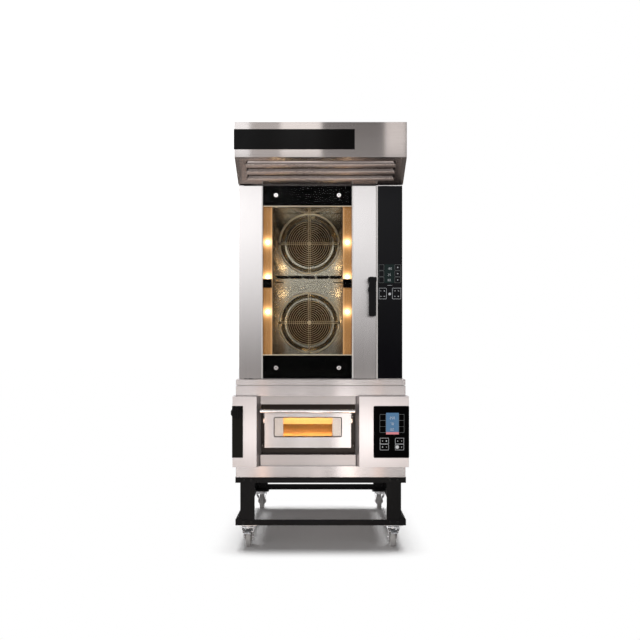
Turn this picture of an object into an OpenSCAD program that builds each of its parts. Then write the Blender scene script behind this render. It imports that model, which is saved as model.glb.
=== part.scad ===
// Baking tower: convection oven with hood, on a single deck oven and a wheeled stand.
// Every module works from the middle of the tower, the face of the oven door and the floor.

/* [Overall] */
// Space between the fan motors and the back panel
motor_room = 50; // [20:1:90]
// Thickness of sheet steel in the casings
sheet_t = 2; // [1:0.5:3]
// Gap between faces of parts that move past each other
slide_gap = 0.4; // [0.3:0.1:0.8]
// Radial clearance of pins and shafts in their bores
run_gap = 0.05; // [0.02:0.01:0.09]

/* [Stand] */
// Height of the stand
stand_h = 379; // [340:1:460]
// Width of the stand
stand_w = 886; // [860:1:960]
// Depth of the stand
stand_d = 1000; // [900:1:1040]
// Height of the stand's rails
rail_h = 30; // [26:1:40]
// Depth of the flanges on the rails
rail_flange = 36; // [24:1:44]
// Thickness of the stand's steel
stand_t = 3; // [2:0.5:4]
// Width of each flange of a leg
leg_w = 75; // [66:1:84]
// Distance from the side of the stand to a leg
leg_inset = 25; // [12:1:30]
// Height of the corner gussets
gusset_h = 26; // [16:1:40]
// Diameter of the frame bolts
frame_bolt_d = 8; // [6:1:10]
// Distance between the two bolts of a corner
frame_bolt_gap = 39; // [30:1:46]

/* [Casters] */
// Height of a caster
caster_h = 128; // [126:1:150]
// Diameter of a caster wheel
wheel_d = 100; // [84:1:102]
// Width of a caster wheel
wheel_w = 32; // [24:1:36]
// Distance from the kingpin to the axle
caster_trail = 36; // [30:1:42]
// Diameter of the axle and the kingpin
axle_d = 12; // [10:1:14]
// Thickness of the fork's steel
fork_t = 3; // [2:0.5:4]
// Width across the top of a fork
fork_top_w = 68; // [60:1:76]

/* [Deck oven] */
// Height of the deck oven's plinth
deck_plinth_h = 57; // [40:1:80]
// How far the plinths stand in from the sides of the stand
plinth_in = 3; // [0:0.5:6]
// Height of the deck oven
deck_h = 364; // [356:1:400]
// How far the front pillars stand out past the plinths
deck_side = 14; // [8:0.5:18]
// How far the pillars stand in front of the oven door
pillar_out = 40; // [30:1:50]
// Width of the left pillar
pillar_left_w = 124; // [116:1:128]
// Width of the right pillar
pillar_right_w = 255; // [250:1:258]
// Width of the slanted inner side of a pillar
bevel_w = 17; // [8:1:18]
// Gap between the deck door and the pillars
deck_door_gap = 20.5; // [20:0.5:24]
// Height of the deck door
deck_door_h = 182; // [176:1:186]
// Thickness of the deck door
deck_door_t = 45; // [40:1:46]
// Width of the deck door beside its window
deck_stile_w = 48; // [36:1:60]
// Height of the deck door's window
deck_window_h = 104; // [90:1:110]
// Width of the closed ends inside the window
deck_blind_w = 49; // [36:1:60]
// How far the baking chamber stands in from the ends of the deck door
chamber_in = 22.5; // [20:0.5:28]
// Height of the baking chamber
chamber_h = 150; // [140:1:154]
// Depth of the baking chamber
chamber_d = 720; // [640:1:760]
// Thickness of the baking stone
stone_t = 16; // [12:1:22]
// Diameter of the deck door's handle tube
bar_d = 18; // [14:1:22]
// Gap between the handle tube and the door
bar_gap = 45; // [35:1:50]
// Diameter of the steam valve knob
valve_knob_d = 62; // [54:1:64]
// Diameter of the steam valve's rod
valve_rod_d = 8; // [6:1:10]
// Outer diameter of the steam vent pipe
vent_d = 44; // [38:1:48]
// Width of the deck oven's touch panel
touch_w = 183; // [150:1:190]

/* [Oven] */
// Height of the plinth under the oven
base_plinth_h = 57; // [40:1:70]
// Height of the step on that plinth
base_step_h = 29; // [20:1:40]
// How far the oven casing stands in from the plinth's sides
oven_in = 15; // [8:0.5:18]
// Height of the oven casing
oven_h = 1012; // [1010:1:1060]
// How far the sides of the baking cavity stand in from the window's edges
cavity_in = 2; // [1:0.5:6]
// Height of the space above the baking cavity
cavity_top = 26; // [24:1:40]
// Depth from the casing front to the fan baffle
tray_d = 640; // [620:1:700]
// Depth of the cavity behind the fan baffle
fan_room = 116; // [108:1:130]
// Number of tray levels
levels = 10; // [6:1:10]
// Thickness of the insulation
wool_t = 40; // [30:1:44]
// Diameter of the drain pipe
drain_d = 40; // [32:1:44]
// Wall of the drain pipe
drain_t = 3; // [2.5:0.5:4]
// Width of the control column
column_w = 135; // [132:1:136]

/* [Oven door] */
// Gap between the door and the control column
door_side_gap = 2; // [1.5:0.5:5]
// Thickness of the door
door_t = 60; // [56:1:62]
// Width of the stile on the hinge side
hinge_stile_w = 123; // [118:1:126]
// Width of the stile on the handle side
lock_stile_w = 125; // [122:1:128]
// Height of the rails above and below the window
door_rail_h = 105; // [102:1:108]
// Thickness of the door glass
glass_t = 6; // [4:0.5:7]
// Diameter of the glass standoffs
standoff_d = 23; // [18:1:26]
// Diameter of the hinge pins
hinge_pin_d = 12; // [10:1:14]
// Diameter of the lever's shaft
lever_shaft_d = 18; // [14:1:20]
// Height of the lever's shaft above the lower edge of the door
lever_rise = 508; // [440:1:560]
// Length of the lever's grip below its shaft
lever_len = 186; // [150:1:200]
// Width of the lever's grip
lever_w = 36; // [28:1:38]
// Distance from the door to the back of the grip
lever_gap = 40; // [34:1:46]

/* [Fans] */
// Height of each fan above or below the middle of the baffle
fan_rise = 242; // [230:1:244]
// Radius of the dish around each fan
dish_r = 177; // [168:1:178]
// Radius of the intake opening in the dish
intake_r = 140; // [137:1:144]
// Radius of the outer ring of the guard
guard_r = 133; // [128:1:135]
// Number of rings in the guard
guard_rings = 10; // [6:1:11]
// Diameter of the guard wire
guard_wire = 3.2; // [2.8:0.2:4]
// Radius of the fan wheel
fan_r = 130; // [120:1:134]
// Length of the fan blades
blade_len = 60; // [50:1:64]
// Number of fan blades
blade_count = 18; // [12:1:24]
// Diameter of the fan shaft
fan_shaft_d = 20; // [16:1:22]
// Diameter of the fan motor
motor_d = 150; // [130:1:160]
// Length of the fan motor
motor_len = 150; // [120:1:160]

/* [Hood] */
// Height of the hood
hood_h = 274; // [260:1:300]
// Height of the hood's front face
fascia_h = 174; // [165:1:180]
// How far the hood stands out past the oven casing on each side
hood_side = 3; // [0:0.5:6]
// How far the hood stands in front of the oven door
hood_out = 175; // [150:1:200]
// Width of the black strip
strip_w = 600; // [500:1:640]
// Height of the black strip
strip_h = 99; // [80:1:110]
// Thickness of the black strip
strip_t = 4; // [3:0.5:6]
// Number of louvres
louvre_count = 3; // [2:1:3]
// Closed width at each end of the louvres
louvre_end = 22; // [12:1:40]
// Outer radius of the duct collar
collar_r = 75; // [70:1:80]
// Height of the duct collar
collar_h = 50; // [40:1:60]
// Radius of the blower wheel
blower_r = 95; // [80:1:98]

/* [Hidden] */
$fn = 64;
cut = 1;                                   // how far a cutter runs past the face it cuts
pipe_out = 40;                             // how far pipes stand out behind the back panel
pipe_step = 1.2;                           // step of a pipe's shoulder, which seats on the back panel
pipe_play = 0.3;                           // radial gap of a pipe in the back panel
slot_pitch = 26;                           // spacing of the slots in the back panels
panel_seam = 0.2;                          // gap between strips and sheets that meet edge to edge
slot_h = 8;

// widths across the tower, one on top of the other
plinth_w = stand_w - 2 * plinth_in;
deck_w = plinth_w + 2 * deck_side;
oven_w = plinth_w - 2 * oven_in;
hood_w = oven_w + 2 * hood_side;

// depths behind the face of the oven door
door_gap = 4;
casing_y = door_t + door_gap;
cavity_d = tray_d + fan_room;
body_d = casing_y + cavity_d + wool_t + motor_len + motor_room;

// where the tower stands: its outline is centred over the origin
knob_side = 23;                            // distance from the pillar's side to the valve knob's centre
panel_lap = 1;                             // how far the touch panel passes the pillar's side
knob_x = -deck_w / 2 + knob_side;
knob_reach = -knob_x + valve_knob_d / 2;
mid_x = (knob_reach - deck_w / 2 - panel_lap) / 2;
face_y = (hood_out + strip_t - body_d - pipe_out) / 2;

// stand
stand_y0 = -5;
stand_y1 = stand_y0 + stand_d;
leg_out_x = stand_w / 2 - leg_inset;
leg_in_x = leg_out_x - leg_w;
foot_t = 5;
foot_w = leg_w + 30;
lower_z = caster_h + rail_h;
bolt_x = [leg_in_x + 18, leg_in_x + 18 + frame_bolt_gap];
bolt_z = [stand_h - rail_h / 2 - 2, caster_h + rail_h / 2 + 2];

// casters
caster_x = stand_w / 2 - leg_inset - leg_w / 2;
caster_y0 = stand_y0 + stand_t + leg_w / 2 + 6;
caster_y1 = stand_y1 - stand_t - leg_w / 2 - 6;
caster_spots = [[-caster_x, caster_y0], [caster_x, caster_y0], [-caster_x, caster_y1], [caster_x, caster_y1]];
plate_t = 4;
race_h = 8;
race_r = 26;
fork_head_z = caster_h - plate_t - race_h - slide_gap;
fork_head_h = 9;
axle_r = axle_d / 2;
wheel_r = wheel_d / 2;
fork_in = wheel_w / 2 + 2;
nut_h = 6;
brake_y = -24;                             // place of the pedal's pivot, from the kingpin
brake_z = caster_h - 36;
brake_pin_r = 4;

// deck oven heights and depths
deck_z0 = stand_h + deck_plinth_h;
deck_z1 = deck_z0 + deck_h;
deck_front = -pillar_out;
plinth_front = -10;
plinth_back = body_d - 20;
mouth_y = 58;                              // front plate of the baking chamber
plate_y1 = mouth_y + sheet_t;
left_in = -deck_w / 2 + pillar_left_w;
right_in = deck_w / 2 - pillar_right_w;
bay_x0 = left_in + bevel_w;
bay_x1 = right_in - bevel_w - 3;
bay_x = (bay_x0 + bay_x1) / 2;
deck_door_w = bay_x1 - bay_x0 - 2 * deck_door_gap;
deck_window_w = deck_door_w - 2 * deck_stile_w;
deck_view_w = deck_window_w - 2 * deck_blind_w;
chamber_w = deck_door_w - 2 * chamber_in;
pillar_t = 3;
fascia_top_h = 44;
fascia_low_h = 58;
deck_door_x0 = bay_x - deck_door_w / 2;
deck_door_x1 = bay_x + deck_door_w / 2;
deck_door_y0 = mouth_y - 3 - deck_door_t;
deck_door_y1 = deck_door_y0 + deck_door_t;
deck_door_z0 = deck_z0 + 93;
deck_door_z1 = deck_door_z0 + deck_door_h;
deck_pivot_y = deck_door_y0 + 12;
deck_pivot_z = deck_door_z0 + 10;
deck_pin_r = 6;
deck_pin_in = 30;                          // how far the pins reach into the door
deck_window_z = deck_door_z0 + deck_door_h * 0.59;
chamber_z0 = deck_pivot_z + deck_door_y1 - deck_pivot_y - stone_t;
chamber_z1 = chamber_z0 + chamber_h;
bar_r = bar_d / 2;
bar_y = deck_door_y0 - bar_gap - bar_r;
bar_z = deck_door_z1 + 13;
arm_t = 6;
ear_gap = 1.5;
ear_w = 10;
valve_z0 = deck_z0 + 49;
valve_z1 = deck_z1 - 49;
valve_plate_w = 56;
valve_plate_t = 3;
knob_z = valve_z1 - 34;
knob_len = 22;
rod_r = valve_rod_d / 2;
shutter_y = 300;
shutter_r = 62;
shutter_t = 3;
vent_x = knob_x + 44;
vent_z = deck_z0 + 254;
vent_r = vent_d / 2;
vent_t = 3;
duct_y = [shutter_y - shutter_r, shutter_y - 2 - slide_gap];
duct_z = [vent_z - 30, vent_z + 26];
duct_t = 2;

// oven heights and depths
base_z0 = deck_z1;
base_z1 = base_z0 + base_plinth_h;
oven_z0 = base_z1 + base_step_h;
oven_z1 = oven_z0 + oven_h;
door_x0 = -oven_w / 2 + 1;
door_x1 = oven_w / 2 - column_w - door_side_gap;
door_z0 = oven_z0 + 5;
door_z1 = oven_z1 - 6;
window_x0 = door_x0 + hinge_stile_w;
window_x1 = door_x1 - lock_stile_w;
window_z0 = door_z0 + door_rail_h + 17;
window_z1 = door_z1 - door_rail_h;
cavity_x = (window_x0 + window_x1) / 2;
cavity_x0 = window_x0 + cavity_in;
cavity_x1 = window_x1 - cavity_in;
cavity_w = cavity_x1 - cavity_x0;
cavity_z0 = window_z0 - 10;
cavity_z1 = oven_z1 - cavity_top;
cavity_z = (cavity_z0 + cavity_z1) / 2;
fan_mid = cavity_z + 6;
seam_z = fan_mid + 36;                     // row of slots between the two dishes
cavity_y1 = casing_y + cavity_d;
baffle_y = casing_y + tray_d;
fan_z = [fan_mid + fan_rise, fan_mid - fan_rise];
drain_r = drain_d / 2;
drain_y = casing_y + 60;
drain_z = oven_z0 + 44;
gland_r = 14;
gland_x = oven_w / 2 - 90;
gland_z = oven_z0 + 70;
gasket_w = 10;
gasket_t = door_gap - 0.3;

// oven door
pivot_x = door_x0 + 8;
pivot_y = door_t / 2;
hinge_r = hinge_pin_d / 2;
pin_len = 30;
skin_t = 2;
glass_y = 2;
rail_y = glass_y + glass_t + 2;
glass_lap = 7;
inner_y = door_t - 3 - glass_t;
lever_r = lever_shaft_d / 2;
lever_x = door_x1 - 23;
lever_z = door_z0 + lever_rise;
lever_t = 22;
standoff_x = [window_x0 + 69, window_x1 - 68];
standoff_z = [door_z0 + 55, door_z1 - 48];
lamp_w = 46;
lamp_mid = (window_z0 + window_z1) / 2 + 22;
lamp_pitch = 183;
lamp_z = [for (i = [1, 0, -1]) lamp_mid + i * lamp_pitch];

// fans
wheel_y0 = baffle_y + 24;
wheel_y1 = wheel_y0 + blade_len;
motor_y = cavity_y1 + wool_t;
heater_r = intake_r + 16;
stud_r = 5;
guard_y = baffle_y - 8;
dish_h = 14;                               // how deep the dish around a fan is pressed

// hood
hood_z0 = oven_z1;
hood_z1 = hood_z0 + hood_h;
fascia_z = hood_z1 - fascia_h;
lip_z = hood_z0 + 4;
lip_y = -4;
hood_back = body_d - 20;
slope_run = lip_y + hood_out;
slope_drop = fascia_z - lip_z;
slope_len = sqrt(slope_run * slope_run + slope_drop * slope_drop);
slope_angle = atan2(slope_drop, slope_run);
cheek_w = 22;
louvre_w = hood_w - 2 * (cheek_w + louvre_end);
louvre_y = 30;                             // place of the first slot, down the slope
louvre_h = 22;                             // height of each slot
louvre_pitch = 51;
louvre_rise = 17;                          // how far each lip stands out
collar_y = body_d - 220;
collar_t = 2;
blower_h = 60;
blower_case_r = blower_r + 20;

// Shared shapes
module placed() {
  translate([mid_x, face_y, 0]) children();
}

module block(x0, x1, y0, y1, z0, z1) {
  translate([x0, y0, z0]) cube([x1 - x0, y1 - y0, z1 - z0]);
}

module rod_x(r, x0, x1, y, z) {
  translate([x0, y, z]) rotate([0, 90, 0]) cylinder(r = r, h = x1 - x0);
}

module rod_y(r, y0, y1, x, z) {
  translate([x, y0, z]) rotate([-90, 0, 0]) cylinder(r = r, h = y1 - y0);
}

module rod_z(r, z0, z1, x, y) {
  translate([x, y, z0]) cylinder(r = r, h = z1 - z0);
}

// a flat shape drawn in (y, z) and run along x
module along_x(x0, x1) {
  translate([x0, 0, 0]) rotate([90, 0, 90]) linear_extrude(x1 - x0) children();
}

// a flat shape drawn in (x, z) and run along y
module along_y(y0, y1) {
  translate([0, y1, 0]) rotate([90, 0, 0]) linear_extrude(y1 - y0) children();
}

module rounded(x0, x1, z0, z1, r) {
  translate([x0 + r, z0]) square([x1 - x0 - 2 * r, z1 - z0]);
  translate([x0, z0 + r]) square([x1 - x0, z1 - z0 - 2 * r]);
  for (x = [x0 + r, x1 - r], z = [z0 + r, z1 - r]) translate([x, z]) circle(r);
}

// a box of sheet steel with walls of thickness t; the last arguments open its front, back or underside
module shell(x0, x1, y0, y1, z0, z1, t, open_front = 0, open_back = 0, open_low = 0) {
  difference() {
    block(x0, x1, y0, y1, z0, z1);
    block(x0 + t, x1 - t, y0 + (open_front ? -cut : t), y1 + (open_back ? cut : -t),
      z0 + (open_low ? -cut : t), z1 - t);
  }
}

// Stand
module both_sides() {
  for (side = [0, 1]) mirror([side, 0, 0]) children();
}

// draws its child at the front and again, mirrored, at the back of the stand
module both_ends() {
  children();
  translate([0, stand_y0 + stand_y1, 0]) mirror([0, 1, 0]) children();
}

module ring(z0, z1, inset) {
  difference() {
    block(-stand_w / 2, stand_w / 2, stand_y0, stand_y1, z0, z1);
    block(-stand_w / 2 + inset, stand_w / 2 - inset, stand_y0 + inset, stand_y1 - inset, z0 - cut, z1 + cut);
  }
}

module frame_holes() {
  both_sides() both_ends() for (x = bolt_x, z = bolt_z)
    rod_y(frame_bolt_d / 2, stand_y0 - cut, stand_y0 + 30, x, z);
}

module stand_top_frame() {
  color("#1c1c1d") placed() difference() {
    union() {
      ring(stand_h - rail_h, stand_h, stand_t);
      ring(stand_h - stand_t, stand_h, rail_flange);
    }
    frame_holes();
  }
}

module stand_lower_frame() {
  color("#1c1c1d") placed() difference() {
    union() {
      ring(caster_h, caster_h + rail_h, stand_t);
      ring(caster_h, caster_h + foot_t, rail_flange);
      both_sides() both_ends() {
        block(stand_w / 2 - foot_w, stand_w / 2, stand_y0, stand_y0 + foot_w, caster_h, caster_h + foot_t);
        along_y(stand_y0, stand_y0 + stand_t)
          polygon([[leg_out_x - cut, lower_z - cut], [stand_w / 2, lower_z - cut], [stand_w / 2, lower_z],
            [leg_out_x, lower_z + gusset_h], [leg_out_x - cut, lower_z + gusset_h]]);
      }
    }
    frame_holes();
  }
}

module leg() {
  y0 = stand_y0 + stand_t;
  z0 = caster_h + foot_t;
  block(leg_in_x, leg_out_x, y0, y0 + stand_t, z0, stand_h - stand_t);
  block(leg_out_x - stand_t, leg_out_x, y0, y0 + leg_w, z0, stand_h - stand_t);
}

module stand_legs() {
  color("#202021") placed() difference() {
    both_sides() both_ends() leg();
    frame_holes();
  }
}

module frame_bolt() {
  head_r = frame_bolt_d * 0.8;
  rod_y(frame_bolt_d / 2, stand_y0 - 1, stand_y0 + 2 * stand_t + 7, 0, 0);
  rod_y(head_r, stand_y0 - 4, stand_y0, 0, 0);
  translate([0, stand_y0 + 2 * stand_t, 0]) rotate([-90, 0, 0]) cylinder(r = head_r, h = 6, $fn = 6);
}

module stand_bolts() {
  color("#141414") placed() both_sides() both_ends() for (x = bolt_x, z = bolt_z)
    translate([x, 0, z]) frame_bolt();
}

// Casters
module caster_plates() {
  color("#b9bcbf") placed() for (spot = caster_spots) translate([spot[0], spot[1], 0]) {
    block(-48, 48, -42, 42, caster_h - plate_t, caster_h);
    rod_z(race_r, caster_h - plate_t - race_h, caster_h, 0, 0);
    rod_z(axle_r, fork_head_z - fork_head_h - nut_h - slide_gap, caster_h, 0, 0);
    rod_z(axle_r + 4, fork_head_z - fork_head_h - nut_h - slide_gap, fork_head_z - fork_head_h - slide_gap,
      0, 0);
  }
}

// side shape of a fork in (y, z): a cheek that runs from the head down to the axle
module fork_side() {
  top_z = fork_head_z;
  difference() {
    union() {
      polygon([[-30, top_z], [28, top_z], [caster_trail + 16, wheel_r + 2], [caster_trail - 15, wheel_r - 6],
        [-16, top_z - 24], [-33, top_z - 24]]);
      translate([caster_trail, wheel_r]) circle(16);
      translate([brake_y, brake_z]) circle(9);
    }
    translate([brake_y, brake_z]) circle(brake_pin_r + run_gap);
  }
}

// front shape of a fork in (x, z): a bow that is widest at the head
module fork_front() {
  top_z = fork_head_z;
  for (side = [0, 1]) mirror([side, 0])
    polygon([[-cut, top_z], [fork_top_w / 2 - 6, top_z], [fork_top_w / 2, top_z - 6],
      [fork_in + fork_t, wheel_r + 26], [fork_in + fork_t, 0], [fork_in, 0], [fork_in, wheel_r + 25],
      [fork_top_w / 2 - fork_t, top_z - 9], [fork_top_w / 2 - 2 * fork_t, top_z - fork_t],
      [-cut, top_z - fork_t]]);
}

module fork() {
  color("#b4b8bc") difference() {
    union() {
      intersection() {
        along_x(-fork_top_w / 2, fork_top_w / 2) fork_side();
        along_y(-60, caster_trail + 60) fork_front();
      }
      rod_z(race_r, fork_head_z - fork_head_h, fork_head_z, 0, 0);
      rod_x(axle_r, -fork_in - fork_t - 3, fork_in + fork_t + 3, caster_trail, wheel_r);
      for (side = [0, 1]) mirror([side, 0, 0]) {
        rod_x(axle_r + 4, fork_in + fork_t, fork_in + fork_t + 5, caster_trail, wheel_r);
      }
    }
    rod_z(axle_r + run_gap, fork_head_z - fork_head_h - cut, fork_head_z + cut, 0, 0);
  }
}

module caster_wheel() {
  tread = 12;
  color("#cfd1d3") translate([0, caster_trail, wheel_r]) rotate([0, 90, 0]) difference() {
    rotate_extrude() translate([0, -wheel_w / 2]) {
      square([20, wheel_w]);
      translate([0, wheel_w / 2 - 5]) square([wheel_r - tread + cut, 10]);
      translate([wheel_r - tread, 3]) square([tread - 4, wheel_w - 6]);
      translate([wheel_r - 8, 4 + 3]) square([8, wheel_w - 14]);
      for (y = [7, wheel_w - 7]) translate([wheel_r - 4, y]) circle(4);
      translate([wheel_r - 8, 3]) square([4, wheel_w - 6]);
    }
    cylinder(r = axle_r + run_gap, h = wheel_w * 2, center = true);
  }
}

module caster_brake() {
  reach = wheel_r + 1.5;
  side_x = fork_in - 1.2;
  color("#c4c7ca") difference() {
    union() {
      rod_x(brake_pin_r + 4, -side_x, side_x, brake_y, brake_z);
      rod_x(brake_pin_r, -fork_in - fork_t - 6, fork_in + fork_t + 6, brake_y, brake_z);
      along_x(-side_x, side_x) polygon([[brake_y - 40, brake_z + 2], [brake_y - 44, brake_z - 3],
        [brake_y - 6, brake_z - 7], [brake_y, brake_z + 6]]);
      along_x(-side_x + 4, side_x - 4) polygon([[brake_y - 4, brake_z], [brake_y + 4, brake_z + 7],
        [brake_y + 24, brake_z - 4], [brake_y + 24, brake_z - 16], [brake_y + 2, brake_z - 16]]);
    }
    rod_x(reach, -wheel_w, wheel_w, caster_trail, wheel_r);
  }
}

module at_caster(i) {
  placed() translate([caster_spots[i][0], caster_spots[i][1], 0]) children();
}

// Deck oven
module deck_plinth() {
  color("#b3aaa6") placed() difference() {
    block(-plinth_w / 2, plinth_w / 2, plinth_front, plinth_back, stand_h, deck_z0);
    block(-plinth_w / 2 + 3, plinth_w / 2 - 3, plinth_front + 3, plinth_back - 3, stand_h - cut, deck_z0 - 3);
  }
}

module deck_casing() {
  x = plinth_w / 2;
  color("#a39c99") placed() difference() {
    shell(-x, x, plate_y1, body_d, deck_z0, deck_z1, sheet_t, open_front = 1);
    rod_y(vent_r - pipe_step + pipe_play, body_d - 10, body_d + cut, vent_x, vent_z);
    vent_slots(60, 300, deck_z0 + 60, 8);
  }
}

// outline of a front pillar in (x, y), seen from above, for the left side
module pillar_outline(w, t) {
  polygon([[t, deck_front + t], [w - t * 0.6, deck_front + t], [w + bevel_w - t, 15],
    [w + bevel_w - t, mouth_y - t], [t, mouth_y - t]]);
}

module pillar(w) {
  difference() {
    translate([0, 0, deck_z0]) linear_extrude(deck_h) pillar_outline(w, 0);
    translate([0, 0, deck_z0 + pillar_t]) linear_extrude(deck_h - 2 * pillar_t) pillar_outline(w, pillar_t);
    block(8, w - 20, mouth_y - 20, mouth_y + cut, deck_z0 + 20, deck_z1 - 20);
  }
}

module deck_pillar_left() {
  color("#bcb3af") placed() difference() {
    translate([-deck_w / 2, 0, 0]) pillar(pillar_left_w);
    rod_y(rod_r + run_gap, deck_front - cut, deck_front + 20, knob_x, knob_z);
  }
}

module deck_pillar_right() {
  color("#bcb3af") placed() translate([deck_w / 2, 0, 0]) mirror([1, 0, 0]) pillar(pillar_right_w);
}

module deck_fascias() {
  x1 = right_in - bevel_w;
  color("#aba29e") placed() {
    shell(bay_x0, x1, 5, mouth_y, deck_z1 - fascia_top_h, deck_z1, 3, open_back = 1);
    shell(bay_x0, x1, 0, mouth_y, deck_z0, deck_z0 + fascia_low_h, 3, open_back = 1);
  }
}

module deck_chamber() {
  x0 = bay_x - chamber_w / 2;
  x1 = bay_x + chamber_w / 2;
  t = sheet_t;
  color("#6f6a66") placed() {
    difference() {
      union() {
        block(-plinth_w / 2, plinth_w / 2, mouth_y, plate_y1, deck_z0, deck_z1);
        block(x0 - t, x1 + t, mouth_y, plate_y1 + chamber_d + t, chamber_z0 - t, chamber_z1 + t);
        both_ears() block(ear_gap, ear_gap + ear_w, deck_pivot_y - 11, mouth_y + cut,
          deck_pivot_z - 10, deck_pivot_z + 10);
      }
      block(x0, x1, mouth_y - cut, plate_y1 + chamber_d, chamber_z0, chamber_z1);
      rod_x(deck_pin_r + run_gap, deck_door_x0 - 20, deck_door_x1 + 20, deck_pivot_y, deck_pivot_z);
      rod_x(16, x0 - 10, x0 + 10, shutter_y - 30, vent_z);
      rod_y(rod_r + 3, mouth_y - cut, plate_y1 + cut, knob_x, knob_z);
    }
  }
}

// draws its child at both ends of the deck door, with x counted outwards from the door's end
module both_ears() {
  translate([deck_door_x1, 0, 0]) children();
  translate([deck_door_x0, 0, 0]) mirror([1, 0, 0]) children();
}

module deck_stone() {
  gap = 3;
  color("#b8a78f") placed() block(bay_x - chamber_w / 2 + gap, bay_x + chamber_w / 2 - gap, plate_y1 + gap,
    plate_y1 + chamber_d - gap, chamber_z0, chamber_z0 + stone_t);
}

// a tubular heating element: a hairpin that comes in through the rear wall, and its hanger
module hairpin(x, z, gap) {
  y0 = plate_y1 + 60;
  y1 = plate_y1 + chamber_d;
  hanger_y = y0 + 120;
  hanger_t = 4;
  for (dx = [-gap, gap]) rod_y(4, y0 + gap, y1, x + dx, z);
  translate([x, y0 + gap, z]) rotate([0, 0, 180]) rotate_extrude(angle = 180) translate([gap, 0]) circle(4);
  block(x - gap - 3, x + gap + 3, hanger_y, hanger_y + hanger_t, z, chamber_z1);
}

module deck_heaters() {
  gap = 32;
  edge = 46;
  pitch = chamber_w / 2 - gap - edge;
  color("#4a4644") placed() for (i = [-1:1]) hairpin(bay_x + i * pitch, chamber_z1 - 18, gap);
}

module deck_door_panel() {
  t = sheet_t;
  color("#bdb5b1") placed() difference() {
    block(deck_door_x0, deck_door_x1, deck_door_y0, deck_door_y1 - 3, deck_door_z0, deck_door_z1);
    block(deck_door_x0 + t, deck_door_x1 - t, deck_door_y0 + t, deck_door_y1,
      deck_door_z0 + t, deck_door_z1 - t);
    along_y(deck_door_y0 - cut, deck_door_y0 + t + cut) deck_window(0);
    rod_x(deck_pin_r, deck_door_x0 - cut, deck_door_x1 + cut, deck_pivot_y, deck_pivot_z);
  }
}

module deck_window(grow) {
  w = deck_window_w / 2 + grow;
  h = deck_window_h / 2 + grow;
  translate([bay_x, deck_window_z]) rounded(-w, w, -h, h, 8 + grow);
}

module deck_door_glass() {
  color("#2b2622", 0.4) placed() along_y(deck_door_y0 + sheet_t, deck_door_y0 + sheet_t + 4) deck_window(7);
}

// the inner frame of the door: back plate, light-coloured window box and hinge pins
module deck_door_liner() {
  t = sheet_t;
  view_z0 = deck_window_z - deck_window_h / 2 + 3;
  view_z1 = deck_window_z + deck_window_h / 2 - 3;
  y0 = deck_door_y0 + t + 4;
  color("#c7c3bf") placed() {
    difference() {
      union() {
        block(deck_door_x0, deck_door_x1, deck_door_y1 - 3, deck_door_y1, deck_door_z0, deck_door_z1);
        along_y(y0, deck_door_y1) deck_window(4);
      }
      block(bay_x - deck_view_w / 2, bay_x + deck_view_w / 2, y0 - cut, deck_door_y1 + cut, view_z0, view_z1);
      along_y(y0 + t, deck_door_y1 - 3) difference() {
        deck_window(4 - t);
        translate([bay_x - deck_view_w / 2 - t, view_z0 - t])
          square([deck_view_w + 2 * t, view_z1 - view_z0 + 2 * t]);
      }
    }
    both_ears() {
      rod_x(deck_pin_r, -deck_pin_in, ear_gap + ear_w + 2, deck_pivot_y, deck_pivot_z);
      block(-deck_pin_in, -sheet_t, deck_pivot_y - 8, deck_door_y1 - 3 + cut,
        deck_pivot_z - 8, deck_pivot_z + 8);
    }
  }
}

module deck_door_handle() {
  end_x = 13 + arm_t;
  color("#d6d3d0") placed() {
    rod_x(bar_r, deck_door_x0 - end_x, deck_door_x1 + end_x, bar_y, bar_z);
    both_ears() {
      along_x(0, arm_t) polygon([[bar_y - 5, bar_z - 6], [bar_y + 2, bar_z + 6], [bar_y + 16, bar_z + 3],
        [deck_door_y0 + 10, deck_door_z1 - 6], [deck_door_y0 + 30, deck_door_z1 - 12],
        [deck_door_y0 + 30, deck_door_z1 - 54], [deck_door_y0 + 8, deck_door_z1 - 54],
        [deck_door_y0 - 6, deck_door_z1 - 30]]);
      for (z = [deck_door_z1 - 22, deck_door_z1 - 44]) rod_x(5, arm_t, arm_t + 3, deck_door_y0 + 19, z);
    }
  }
}

module deck_valve_plate() {
  x0 = -deck_w / 2 - 2;
  color("#0f0f10") placed() difference() {
    block(x0, x0 + valve_plate_w, deck_front - valve_plate_t, deck_front, valve_z0, valve_z1);
    rod_y(rod_r + run_gap, deck_front - 10, deck_front + cut, knob_x, knob_z);
  }
}

// knob, rod and the sector plate that opens and shuts the steam vent
module deck_valve_knob() {
  r = valve_knob_d / 2;
  y1 = deck_front - valve_plate_t - slide_gap;
  color("#121213") placed() {
    translate([knob_x, y1, knob_z]) rotate([90, 0, 0]) difference() {
      union() {
        cylinder(r = r, h = 9);
        cylinder(r = r - 5, h = knob_len - 4);
        intersection() {
          cylinder(r = r - 5, h = knob_len);
          translate([-7, -r, 0]) cube([14, 2 * r, knob_len]);
        }
      }
      for (a = [0:30:330]) rotate(a) translate([r + 1.5, 0, -cut]) cylinder(r = 3, h = 9 + 2 * cut);
    }
    rod_y(rod_r, y1 - 4, shutter_y + 20, knob_x, knob_z);
    along_y(shutter_y + 1 - shutter_t, shutter_y + 1) translate([knob_x, knob_z]) {
      circle(rod_r + 2);
      intersection() {
        circle(shutter_r);
        polygon([[-1, rod_r], [4, -2 * shutter_r], [2 * shutter_r, -shutter_r], [2 * shutter_r, rod_r]]);
      }
    }
  }
}

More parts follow.
